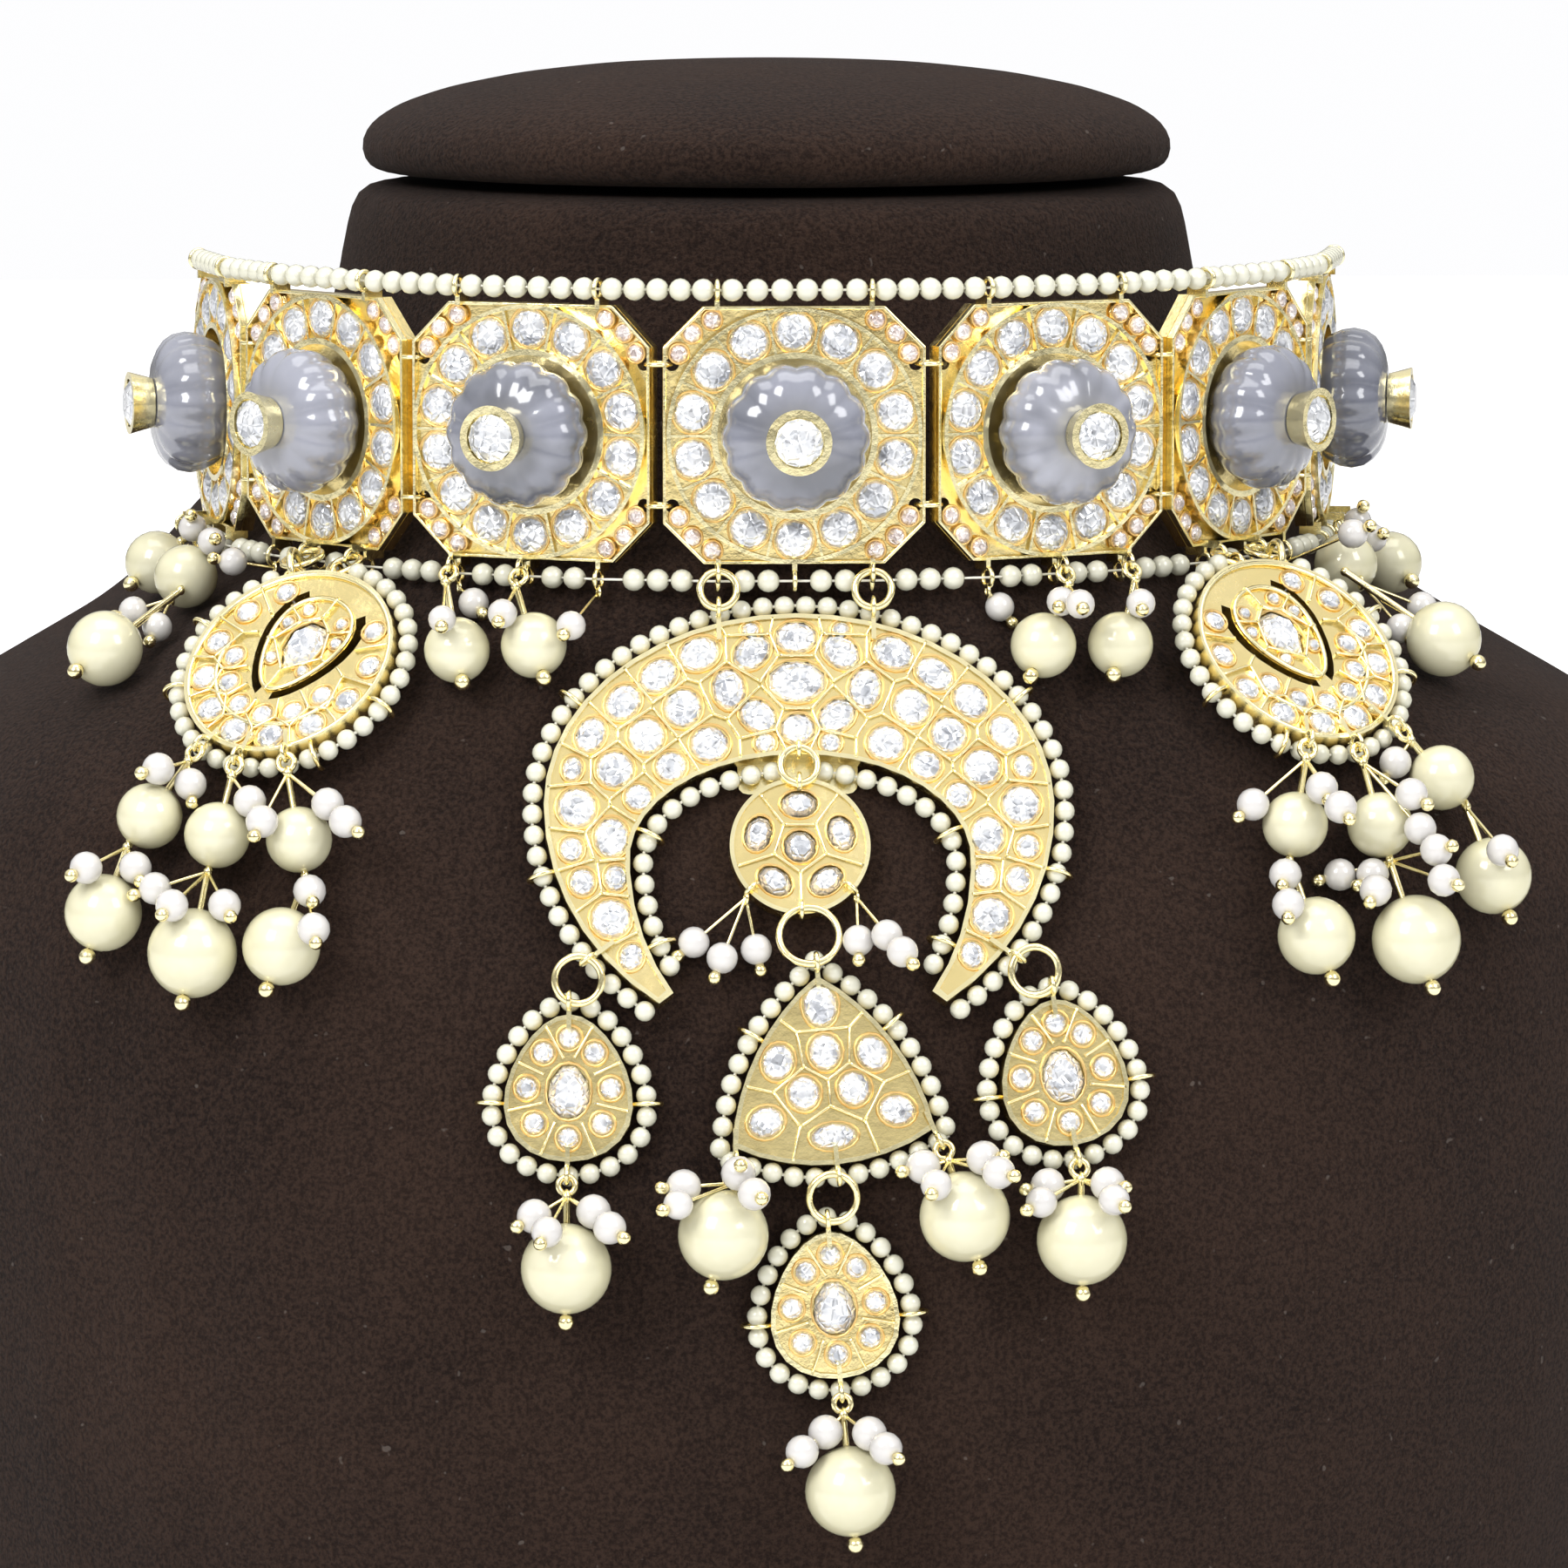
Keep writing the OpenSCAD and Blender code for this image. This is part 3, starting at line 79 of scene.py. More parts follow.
def facing(spot, along, across=None):
    # a place whose z axis runs along the given direction
    z = Vector(along).normalized()
    side = Vector(across) if across is not None else Vector((0, 0, 1))
    if abs(z.dot(side.normalized())) > 0.98:
        side = Vector((0, 1, 0))
    x = side.cross(z).normalized()
    turned = Matrix((x, z.cross(x), z)).transposed().to_4x4()
    turned.translation = spot
    return turned


# work on meshes

def clearPicks():
    if bpy.context.object and bpy.context.object.mode != "OBJECT":
        bpy.ops.object.mode_set(mode="OBJECT")
    bpy.ops.object.select_all(action="DESELECT")


def pick(piece, kind, test):
    # leaves edit mode on with only the wanted points, edges or faces picked
    bpy.ops.object.mode_set(mode="EDIT")
    bpy.ops.mesh.select_mode(type=kind)
    bpy.ops.mesh.select_all(action="DESELECT")
    bpy.ops.object.mode_set(mode="OBJECT")
    mesh = piece.data
    if kind == "VERT":
        for point in mesh.vertices:
            point.select = test(point.co)
    elif kind == "EDGE":
        for edge in mesh.edges:
            a, b = (mesh.vertices[i].co for i in edge.vertices)
            edge.select = test(a, b)
    else:
        for face in mesh.polygons:
            face.select = test(face.center, face.normal)
    bpy.ops.object.mode_set(mode="EDIT")


def doneShaping(piece, sharpness=40):
    bpy.ops.mesh.select_all(action="SELECT")
    bpy.ops.mesh.normals_make_consistent(inside=False)
    bpy.ops.object.mode_set(mode="OBJECT")
    if sharpness:
        bpy.ops.object.shade_smooth_by_angle(angle=math.radians(sharpness))
    return piece


def layCopies(name, master, places, material, stands=(), keepMaster=False):
    # one copy of the master in each place, joined into one piece that sits at the origin
    clearPicks()
    copies = []
    for place in places:
        one = master.copy()
        one.data = master.data.copy()
        one.matrix_world = place
        bpy.context.collection.objects.link(one)
        one.select_set(True)
        copies.append(one)
    bpy.context.view_layer.objects.active = copies[0]
    if len(copies) > 1:
        bpy.ops.object.join()
    if not keepMaster:
        bpy.data.objects.remove(master)
    return settle(copies[0], name, material, stands)


def joinPieces(parts):
    clearPicks()
    for part in parts:
        part.select_set(True)
    bpy.context.view_layer.objects.active = parts[0]
    if len(parts) > 1:
        bpy.ops.object.join()
    return parts[0]


def settle(piece, name, material, stands=()):
    clearPicks()
    piece.select_set(True)
    bpy.context.view_layer.objects.active = piece
    bpy.ops.object.transform_apply(location=True, rotation=True, scale=True)
    piece.name = name
    piece.data.name = name
    piece.data.materials.clear()
    piece.data.materials.append(material)
    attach(piece, "root")
    if stands:
        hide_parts(*stands)
    return piece


def drilledBead(size, sides=12, rings=8, dimple=0.1):
    # a round bead with both ends sunk where the thread goes in
    clearPicks()
    bpy.ops.mesh.primitive_uv_sphere_add(segments=sides, ring_count=rings, radius=size / 2 * mm)
    bead = bpy.context.object
    for end in (-1, 1):
        pick(bead, "VERT", lambda co: end * co.z > size * 0.49 * mm)
        bpy.ops.transform.translate(value=(0, 0, -end * size * dimple * mm))
    return doneShaping(bead, 80)


def cutStone(radius, height, sides=10, table=0.55):
    # round stone: girdle, slanted crown facets and a flat table
    clearPicks()
    bpy.ops.mesh.primitive_cylinder_add(vertices=sides, radius=radius * mm, depth=height * 0.5 * mm,
                                        location=(0, 0, height * 0.25 * mm))
    stone = bpy.context.object
    bpy.ops.object.transform_apply(location=True)
    pick(stone, "FACE", lambda centre, normal: normal.z > 0.9)
    bpy.ops.mesh.extrude_region_move(TRANSFORM_OT_translate={"value": (0, 0, height * 0.28 * mm)})
    bpy.ops.transform.resize(value=(0.84, 0.84, 1))
    bpy.ops.mesh.extrude_region_move(TRANSFORM_OT_translate={"value": (0, 0, height * 0.22 * mm)})
    bpy.ops.transform.resize(value=(table, table, 1))
    bpy.ops.transform.rotate(value=math.pi / sides, orient_axis="Z", center_override=(0, 0, 0))
    return doneShaping(stone, 0)


def wireRing(radius, wire, around=20, section=6):
    clearPicks()
    bpy.ops.mesh.primitive_torus_add(major_radius=radius * mm, minor_radius=wire * mm,
                                     major_segments=around, minor_segments=section)
    ring = bpy.context.object
    pick(ring, "VERT", lambda co: co.z < -wire * 0.5 * mm)   # flattened underneath, where it is soldered
    bpy.ops.transform.resize(value=(1, 1, 0.5))
    return doneShaping(ring, 80)


def railStrip(length, width, height):
    # short straight wall with its top edges rubbed round
    clearPicks()
    bpy.ops.mesh.primitive_cube_add(size=1, location=(0, 0, height / 2 * mm))
    strip = bpy.context.object
    strip.scale = (length * mm, width * mm, height * mm)
    bpy.ops.object.transform_apply(location=True, scale=True)
    pick(strip, "EDGE", lambda a, b: a.z > height * 0.9 * mm and b.z > height * 0.9 * mm)
    bpy.ops.mesh.bevel(offset=width * 0.3 * mm, segments=1, affect="EDGES")
    return doneShaping(strip, 50)


def wireAlong(name, points, radius, closed=False):
    # round wire or thread along points, as a mesh
    line = bpy.data.curves.new(name, "CURVE")
    line.dimensions = "3D"
    line.bevel_depth = radius * mm
    line.bevel_resolution = 1
    line.use_fill_caps = not closed
    spline = line.splines.new("POLY")
    spline.points.add(len(points) - 1)
    for point, p in zip(spline.points, points):
        point.co = (*p, 1)
    spline.use_cyclic_u = closed
    wire = bpy.data.objects.new(name, line)
    bpy.context.collection.objects.link(wire)
    clearPicks()
    wire.select_set(True)
    bpy.context.view_layer.objects.active = wire
    bpy.ops.object.convert(target="MESH")
    wire = bpy.context.object
    for face in wire.data.polygons:
        face.use_smooth = True
    return wire


# shader node groups

def addNode(tree, kind, **settings):
    node = tree.nodes.new(kind)
    for key, value in settings.items():
        setattr(node, key, value)
    return node


def newGroup(name, inputs, outputs):
    group = bpy.data.node_groups.new(name, "ShaderNodeTree")
    for label, kind, value in inputs:
        socket = group.interface.new_socket(label, in_out="INPUT", socket_type="NodeSocket" + kind)
        socket.default_value = value
    for label, kind in outputs:
        group.interface.new_socket(label, in_out="OUTPUT", socket_type="NodeSocket" + kind)
    return group, addNode(group, "NodeGroupInput"), addNode(group, "NodeGroupOutput")


def mixColours(tree, blend="MIX"):
    node = addNode(tree, "ShaderNodeMix", data_type="RGBA", blend_type=blend)
    return node, node.inputs[0], node.inputs[6], node.inputs[7], node.outputs[2]


def noiseOn(tree, coords, scale, detail=3, rough=0.5):
    node = addNode(tree, "ShaderNodeTexNoise")
    node.inputs["Detail"].default_value = detail
    node.inputs["Roughness"].default_value = rough
    tree.links.new(coords, node.inputs["Vector"])
    if isinstance(scale, (int, float)):
        node.inputs["Scale"].default_value = scale
    else:
        tree.links.new(scale, node.inputs["Scale"])
    return node.outputs["Fac"]


def ramp(tree, value, low, high, toLow=0.0, toHigh=1.0):
    node = addNode(tree, "ShaderNodeMapRange", clamp=True)
    tree.links.new(value, node.inputs["Value"])
    for key, number in (("From Min", low), ("From Max", high), ("To Min", toLow), ("To Max", toHigh)):
        node.inputs[key].default_value = number
    return node.outputs["Result"]


def combine(tree, operation, a, b):
    node = addNode(tree, "ShaderNodeMath", operation=operation)
    for socket, value in zip(node.inputs, (a, b)):
        if isinstance(value, (int, float)):
            socket.default_value = value
        else:
            tree.links.new(value, socket)
    return node.outputs[0]


def castGoldGroup():
    # warm gold: painted shade, a deeper colour in the hollows and a brighter one on the raised rails, with faint cast
    # texture and patches of random tone
    g, a, z = newGroup("Cast gold", [
        ("Hollow Colour", "Color", (0.6, 0.4, 0.12, 1)), ("Rubbed Colour", "Color", (0.95, 0.78, 0.42, 1)),
        ("Height Mask", "Float", 1), ("Grain Scale", "Float", 900), ("Patch Scale", "Float", 120),
        ("Smoothness", "Float", 0.5)], [("Colour", "Color"), ("Roughness", "Float"), ("Height", "Float")])
    coords = addNode(g, "ShaderNodeTexCoord").outputs["Object"]
    patches = noiseOn(g, coords, a.outputs["Patch Scale"], 2)
    grain = noiseOn(g, coords, a.outputs["Grain Scale"], 4, 0.6)
    # where the height mask follows a plate it paints shade into the hollows; the patches vary the tone at random
    mask = combine(g, "ADD", a.outputs["Height Mask"], ramp(g, patches, 0.3, 0.7, -0.22, 0.22))
    node, fac, low, high, out = mixColours(g)
    node.clamp_factor = True
    g.links.new(mask, fac)
    g.links.new(a.outputs["Hollow Colour"], low)
    g.links.new(a.outputs["Rubbed Colour"], high)
    g.links.new(out, z.inputs["Colour"])
    wear = combine(g, "MULTIPLY", grain, 0.3)
    base = combine(g, "SUBTRACT", 0.55, a.outputs["Smoothness"])
    g.links.new(combine(g, "ADD", wear, combine(g, "ADD", base, ramp(g, patches, 0.3, 0.7, -0.04, 0.06))),
                z.inputs["Roughness"])
    g.links.new(combine(g, "ADD", combine(g, "MULTIPLY", grain, 0.25), patches), z.inputs["Height"])
    return g


def foiledStoneGroup():
    # uncut flat stone over silver foil: pale patches, crumpled facets and a few dark flecks
    g, a, z = newGroup("Foiled stone", [
        ("Bright", "Color", (0.95, 0.96, 0.98, 1)), ("Shade", "Color", (0.4, 0.42, 0.46, 1)),
        ("Facet Scale", "Float", 900), ("Fleck Amount", "Float", 0.5)],
        [("Colour", "Color"), ("Roughness", "Float"), ("Height", "Float")])
    coords = addNode(g, "ShaderNodeTexCoord").outputs["Object"]
    facets = addNode(g, "ShaderNodeTexVoronoi", feature="F1")
    g.links.new(coords, facets.inputs["Vector"])
    g.links.new(a.outputs["Facet Scale"], facets.inputs["Scale"])
    edges = addNode(g, "ShaderNodeTexVoronoi", feature="DISTANCE_TO_EDGE")
    g.links.new(coords, edges.inputs["Vector"])
    g.links.new(a.outputs["Facet Scale"], edges.inputs["Scale"])
    tone = addNode(g, "ShaderNodeSeparateColor")
    g.links.new(facets.outputs["Color"], tone.inputs[0])
    cloud = noiseOn(g, coords, 380, 3, 0.6)
    light = combine(g, "ADD", combine(g, "MULTIPLY", tone.outputs[0], 0.5), ramp(g, cloud, 0.35, 0.62, 0, 0.75))
    node, fac, low, high, out = mixColours(g)
    node.clamp_factor = True
    g.links.new(light, fac)
    g.links.new(a.outputs["Shade"], low)
    g.links.new(a.outputs["Bright"], high)
    flecks = combine(g, "MULTIPLY", ramp(g, noiseOn(g, coords, 1500, 1), 0.64, 0.74), a.outputs["Fleck Amount"])
    node, fac, low, high, dark = mixColours(g)
    g.links.new(flecks, fac)
    g.links.new(out, low)
    high.default_value = (0.12, 0.12, 0.14, 1)
    g.links.new(dark, z.inputs["Colour"])
    g.links.new(ramp(g, cloud, 0.3, 0.7, 0.05, 0.16), z.inputs["Roughness"])
    g.links.new(combine(g, "ADD", ramp(g, edges.outputs["Distance"], 0, 0.2), tone.outputs[1]), z.inputs["Height"])
    return g


def nacreGroup():
    # pearl: nearly even skin with soft clouds and the faintest ripples
    g, a, z = newGroup("Nacre", [
        ("Tint", "Color", (0.9, 0.89, 0.84, 1)), ("Cloud Colour", "Color", (0.82, 0.8, 0.7, 1)),
        ("Cloud Scale", "Float", 300)], [("Colour", "Color"), ("Roughness", "Float"), ("Height", "Float")])
    coords = addNode(g, "ShaderNodeTexCoord").outputs["Object"]
    cloud = noiseOn(g, coords, a.outputs["Cloud Scale"], 2)
    node, fac, low, high, out = mixColours(g)
    g.links.new(ramp(g, cloud, 0.35, 0.65, 0, 0.8), fac)
    g.links.new(a.outputs["Tint"], low)
    g.links.new(a.outputs["Cloud Colour"], high)
    g.links.new(out, z.inputs["Colour"])
    g.links.new(ramp(g, cloud, 0.3, 0.7, 0.14, 0.24), z.inputs["Roughness"])
    g.links.new(noiseOn(g, coords, 1400, 2), z.inputs["Height"])
    return g


def nappedGroup():
    # brushed suede: short fibres, soft shading from brushing, rare pale specks of lint
    g, a, z = newGroup("Brushed nap", [
        ("Nap Colour", "Color", (0.009, 0.0042, 0.003, 1)), ("Brushed Colour", "Color", (0.046, 0.026, 0.018, 1)),
        ("Fibre Scale", "Float", 1800)], [("Colour", "Color"), ("Roughness", "Float"), ("Height", "Float")])
    coords = addNode(g, "ShaderNodeTexCoord").outputs["Object"]
    fibres = noiseOn(g, coords, a.outputs["Fibre Scale"], 5, 0.7)
    brushing = noiseOn(g, coords, 26, 4, 0.6)
    both = combine(g, "ADD", ramp(g, fibres, 0.4, 0.6, 0, 0.7), ramp(g, brushing, 0.35, 0.65, 0, 0.3))
    node, fac, low, high, out = mixColours(g)
    g.links.new(both, fac)
    g.links.new(a.outputs["Nap Colour"], low)
    g.links.new(a.outputs["Brushed Colour"], high)
    lint, fac, low, high, speckled = mixColours(g)
    g.links.new(ramp(g, noiseOn(g, coords, 700, 1), 0.76, 0.8, 0, 0.35), fac)
    g.links.new(out, low)
    high.default_value = (0.2, 0.17, 0.15, 1)
    g.links.new(speckled, z.inputs["Colour"])
    g.links.new(ramp(g, brushing, 0.3, 0.7, 0.82, 1.0), z.inputs["Roughness"])
    g.links.new(combine(g, "ADD", fibres, combine(g, "MULTIPLY", brushing, 0.5)), z.inputs["Height"])
    return g


groups = {"gold": castGoldGroup(), "stone": foiledStoneGroup(), "nacre": nacreGroup(), "nap": nappedGroup()}


def newMaterial(name, group, values, bump=0.1, bumpDepth=0.0001, **shaderValues):
    material = bpy.data.materials.new(name)
    material.use_nodes = True
    tree = material.node_tree
    shader = tree.nodes["Principled BSDF"]
    effect = addNode(tree, "ShaderNodeGroup", node_tree=groups[group])
    for key, value in values.items():
        effect.inputs[key].default_value = value
    tree.links.new(effect.outputs["Colour"], shader.inputs["Base Color"])
    tree.links.new(effect.outputs["Roughness"], shader.inputs["Roughness"])
    raised = addNode(tree, "ShaderNodeBump")
    raised.inputs["Strength"].default_value = bump
    raised.inputs["Distance"].default_value = bumpDepth
    tree.links.new(effect.outputs["Height"], raised.inputs["Height"])
    tree.links.new(raised.outputs["Normal"], shader.inputs["Normal"])
    for key, value in shaderValues.items():
        shader.inputs[key.replace("_", " ")].default_value = value
    return material, tree, shader, effect


# the darker tone is painted shade in the hollows of the plates, and a random darker tone in plain gold
goldLook = {"shadeAndDarkTone": (0.97, 0.79, 0.36, 1), "lightTone": (1.0, 0.9, 0.53, 1), "bump": 0.8, "bumpDepth": 0.0003}


def plainGold(name="Bright gold", smoothness=0.5):
    return newMaterial(name, "gold", {"Hollow Colour": goldLook["shadeAndDarkTone"], "Rubbed Colour": goldLook["lightTone"],
                                      "Height Mask": 0.85, "Smoothness": smoothness},
                       goldLook["bump"], goldLook["bumpDepth"], Metallic=1.0)[0]


def plateGold(name, place, low, high, shadeAndDarkTone=None):
    # gold whose colour follows how far it stands above the back of its own plate, in millimetres: painted shade on
    # the low floors, the lighter tone on the raised parts
    material, tree, shader, effect = newMaterial(name, "gold", {
        "Hollow Colour": shadeAndDarkTone or goldLook["shadeAndDarkTone"], "Rubbed Colour": goldLook["lightTone"], "Smoothness": 0.5},
        goldLook["bump"], goldLook["bumpDepth"], Metallic=1.0)
    out = place.col[2].to_3d()
    coords = addNode(tree, "ShaderNodeTexCoord").outputs["Object"]
    lift = addNode(tree, "ShaderNodeVectorMath", operation="DOT_PRODUCT")
    tree.links.new(coords, lift.inputs[0])
    lift.inputs[1].default_value = out
    level = out.dot(place.translation)
    tree.links.new(ramp(tree, lift.outputs["Value"], level + low * mm, level + high * mm),
                   effect.inputs["Height Mask"])
    return material


def pearlMaterial(name, tint, cloud, body):
    # a clear skin in the body colour, so that a pearl looks deeper towards its edge
    return newMaterial(name, "nacre", {"Tint": tint, "Cloud Colour": cloud}, 0.06, 0.00005, Metallic=0.0,
                       Specular_IOR_Level=1.0, Coat_Weight=1.0, Coat_Roughness=0.05, Coat_IOR=1.38,
                       Coat_Tint=body)[0]


gold = plainGold()
# a darker copy of the gold for the collars round every stone: painted shade where the stones sit in their settings
shadedCollarGold = newMaterial("Collar gold darkened as painted shade", "gold", {
    "Hollow Colour": (0.6, 0.34, 0.08, 1), "Rubbed Colour": (0.98, 0.72, 0.33, 1), "Height Mask": 0.6,
    "Smoothness": 0.35}, 0.3, 0.0001, Metallic=1.0)[0]
polishedGold = plainGold("Polished gold wire", 0.5)
stoneMaterial = newMaterial("Foiled polki", "stone", {}, 0.5, 0.0002, Metallic=0.55, IOR=1.6,
                            Coat_Weight=0.8, Coat_Roughness=0.03)[0]
sparkleMaterial = newMaterial("Small cut stones", "stone", {
    "Bright": (1, 0.93, 0.9, 1), "Shade": (0.5, 0.38, 0.34, 1), "Facet Scale": 1500.0, "Fleck Amount": 0.2},
    0.4, 0.0001, Metallic=0.6, Coat_Weight=0.8, Coat_Roughness=0.03)[0]
seedPearl = pearlMaterial("Seed pearl", (0.98, 0.98, 0.97, 1), (0.9, 0.9, 0.86, 1), (0.76, 0.75, 0.65, 1))
whitePearl = pearlMaterial("White pearl", (0.96, 0.96, 0.96, 1), (0.86, 0.86, 0.86, 1), (0.73, 0.71, 0.69, 1))
creamPearl = pearlMaterial("Cream pearl", (0.98, 0.98, 0.96, 1), (0.92, 0.92, 0.86, 1), (0.76, 0.73, 0.56, 1))
suede = newMaterial("Brown suede", "nap", {}, 1.0, 0.0007, Sheen_Weight=0.03, Sheen_Roughness=0.4,
                    Specular_IOR_Level=0.12)[0]
print("materials made")


# seed pearls on their threads

strands = {"pearlSize": 2.8, "topBetweenLoops": 6, "topBetweenPlaques": 5, "bottomBetweenLoops": 2,
           "bottomBetweenPlaques": 3, "bottomPitch": 2.95, "threadRadius": 0.16}


def loopRow(level, loops):
    return [at(plaquePlace(k), x * choker["loopSide"], level, choker["loopLift"])
            for k in range(1, 8) for x in loops]


def beadsBetween(stops, counts, pitch):
    places = []
    for i, (a, b) in enumerate(zip(stops, stops[1:])):
        count = counts[i % len(counts)]
        step = min(pitch * mm, ((b - a).length - 0.62 * mm) / count)
        for j in range(count):
            share = 0.5 + (j - (count - 1) / 2) * step / (b - a).length
            places.append(facing(a.lerp(b, share), b - a))
    return places


topStops = loopRow(choker["loopLevel"], (-1, 1))
bottomStops = loopRow(-choker["loopLevel"], (-1, 0, 1))
seed = drilledBead(strands["pearlSize"])
layCopies("top_seed_pearls", seed, beadsBetween(
    topStops, (strands["topBetweenLoops"], strands["topBetweenPlaques"]), 3), seedPearl,
    ("top_strand",), keepMaster=True)
layCopies("bottom_seed_pearls", seed, beadsBetween(
    bottomStops, (strands["bottomBetweenLoops"],) * 2 + (strands["bottomBetweenPlaques"],),
    strands["bottomPitch"]), seedPearl, ("bottom_strand",))
threads = [wireAlong("thread", stops, strands["threadRadius"]) for stops in (topStops, bottomStops)]
threadMaterial = newMaterial("Nylon thread", "nacre", {"Tint": (0.8, 0.78, 0.7, 1), "Cloud Scale": 900.0},
                             0.1, 0.0001, Metallic=0.0)[0]
settle(joinPieces(threads), "strand_threads", threadMaterial)
print("strands strung")


# pearl edgings round the pendants

edging = {"pearlSize": 2.5, "pitch": 2.6, "offEdge": 1.4, "lift": 1.25, "wireRadius": 0.2}
halfWidth = 30.5      # half the width of the crescent
crescentShape = {"rise": 0.78, "fall": 0.957, "tipAngle": -56, "innerWidth": 0.668, "innerRise": 0.423,
                 "innerFall": 0.816, "innerCentre": -0.216, "innerTipAngle": -41}
triangleShape = {"halfWidth": 12.05, "rise": 11.65, "fall": 7.63, "bulges": (2.3, 3.1, 2.3)}
teardropShape = {"halfWidth": 7.47, "halfHeight": 8.75, "taper": 0.24}
leafShape = {"halfWidth": 5.03, "halfHeight": 7.07, "middle": 2.72, "swell": 0.3}
flowerDisc = {"middle": -5, "radius": 8.4}
moonRadius = 13.6


def ovalPoints(w, rise, fall, centre, start, end, steps):
    points = []
    for i in range(steps + 1):
        a = math.radians(start + (end - start) * i / steps)
        points.append((w * math.cos(a), centre + (rise if math.sin(a) > 0 else fall) * math.sin(a)))
    return points


def crescentOuter(grow, start, steps):
    c = crescentShape
    return ovalPoints(halfWidth + grow, halfWidth * c["rise"] + grow, halfWidth * c["fall"] + grow, 0,
                      start, 180 - start, steps)


def crescentInner(grow, start, end, steps):
    c = crescentShape
    return ovalPoints(halfWidth * c["innerWidth"] - grow, halfWidth * c["innerRise"] - grow,
                      halfWidth * c["innerFall"] - grow, halfWidth * c["innerCentre"], start, end, steps)


def trianglePoints(grow, steps):
    w, up, down = triangleShape["halfWidth"], triangleShape["rise"], triangleShape["fall"]
    corners = [Vector((0, up)), Vector((-w, -down)), Vector((w, -down))]
    points = []
    for k, bulge in enumerate(triangleShape["bulges"]):
        a, b = corners[k], corners[(k + 1) % 3]
        d = (b - a).normalized()
        side = Vector((d.y, -d.x))
        for i in range(steps):
            t = i / steps
            p = a + (b - a) * t + side * bulge * 4 * t * (1 - t)
            p += p.normalized() * grow * 1.4 if i == 0 else side * (grow + 0.12)
            points.append(tuple(p))
    return points


def teardropPoints(grow, steps):
    points = []
    for i in range(steps):
        a = math.radians(90 + i * 360 / steps)
        points.append(((teardropShape["halfWidth"] + grow) * math.cos(a) * (1 - teardropShape["taper"] * math.sin(a)),
                       (teardropShape["halfHeight"] + grow) * math.sin(a)))
    return points


def circlePoints(radius, start, sweep, steps):
    return [(radius * math.cos(math.radians(start + sweep * i / steps)),
             radius * math.sin(math.radians(start + sweep * i / steps))) for i in range(steps + 1)]


def spacedOut(points, pitch, closed):
    # even places along a line of points, each with the direction of the line there
    line = [Vector(p) for p in points] + ([Vector(points[0])] if closed else [])
    lengths = [(b - a).length for a, b in zip(line, line[1:])]
    count = max(2, round(sum(lengths) / pitch) + (0 if closed else 1))
    step = sum(lengths) / (count if closed else count - 1)
    found, walked, i = [], 0.0, 0
    for n in range(count):
        while i < len(lengths) - 1 and walked + lengths[i] < n * step:
            walked += lengths[i]
            i += 1
        share = min(1, (n * step - walked) / lengths[i])
        found.append((line[i].lerp(line[i + 1], share), line[i + 1] - line[i]))
    return found


edgingRuns = {
    "crescent_pearls": (("crescent_edging",), [
        ("crescent", crescentOuter(edging["offEdge"], -54, 40), False),
        ("crescent", crescentInner(edging["offEdge"] + 0.25, -33, 80.6, 16), False),
        ("crescent", [(-x, y) for x, y in crescentInner(edging["offEdge"] + 0.25, -33, 80.6, 16)], False)]),
    "triangle_pearls": (("triangle_edging",), [("triangle", trianglePoints(edging["offEdge"], 7), True)]),
    "teardrop_pearls": (("teardrop_edging",), [
        (which, teardropPoints(edging["offEdge"] + 0.2, 24), True)
        for which in ("teardrop_left", "teardrop_right", "teardrop_low")]),
    "moon_pearls": (("moon_edging",), [
        ("moon_left", circlePoints(15, 141.4, 314.5, 40), False),
        ("moon_right", circlePoints(15, 86.8, 313, 40), False)]),
}
seed = drilledBead(edging["pearlSize"])
wires = []
for name, (stands, runs) in edgingRuns.items():
    places = []
    for which, points, closed in runs:
        plate = plates[which]
        for spot, along in spacedOut(points, edging["pitch"], closed):
            places.append(facing(at(plate, spot.x, spot.y, edging["lift"]),
                                 plate.to_3x3() @ Vector((along.x, along.y, 0)), plate.col[2].to_3d()))
        wires.append(wireAlong("edging wire", [at(plate, x, y, edging["lift"]) for x, y in points],
                               edging["wireRadius"], closed))
    layCopies(name, seed, places, seedPearl, stands, keepMaster=True)
bpy.data.objects.remove(seed)
settle(joinPieces(wires), "edging_threads", threadMaterial)
print("edgings strung")


# thin gold sheet behind the top of the crescent's opening

clearPicks()
bpy.ops.mesh.primitive_plane_add(size=1)
backing = bpy.context.object
backing.scale = (14.4 * mm, 5.6 * mm, 1)
bpy.ops.object.transform_apply(scale=True)
bpy.ops.object.mode_set(mode="EDIT")
bpy.ops.mesh.select_all(action="SELECT")
bpy.ops.mesh.bevel(offset=1.2 * mm, segments=3, affect="VERTICES")
bpy.ops.mesh.extrude_region_move(TRANSFORM_OT_translate={"value": (0, 0, 0.16 * mm)})
doneShaping(backing)
backing.matrix_world = plates["crescent"] @ Matrix.Translation((0, 4.9 * mm, -0.2 * mm))
settle(backing, "crescent_backing", gold)


# cells: small stones, their collars and the thin walls between them

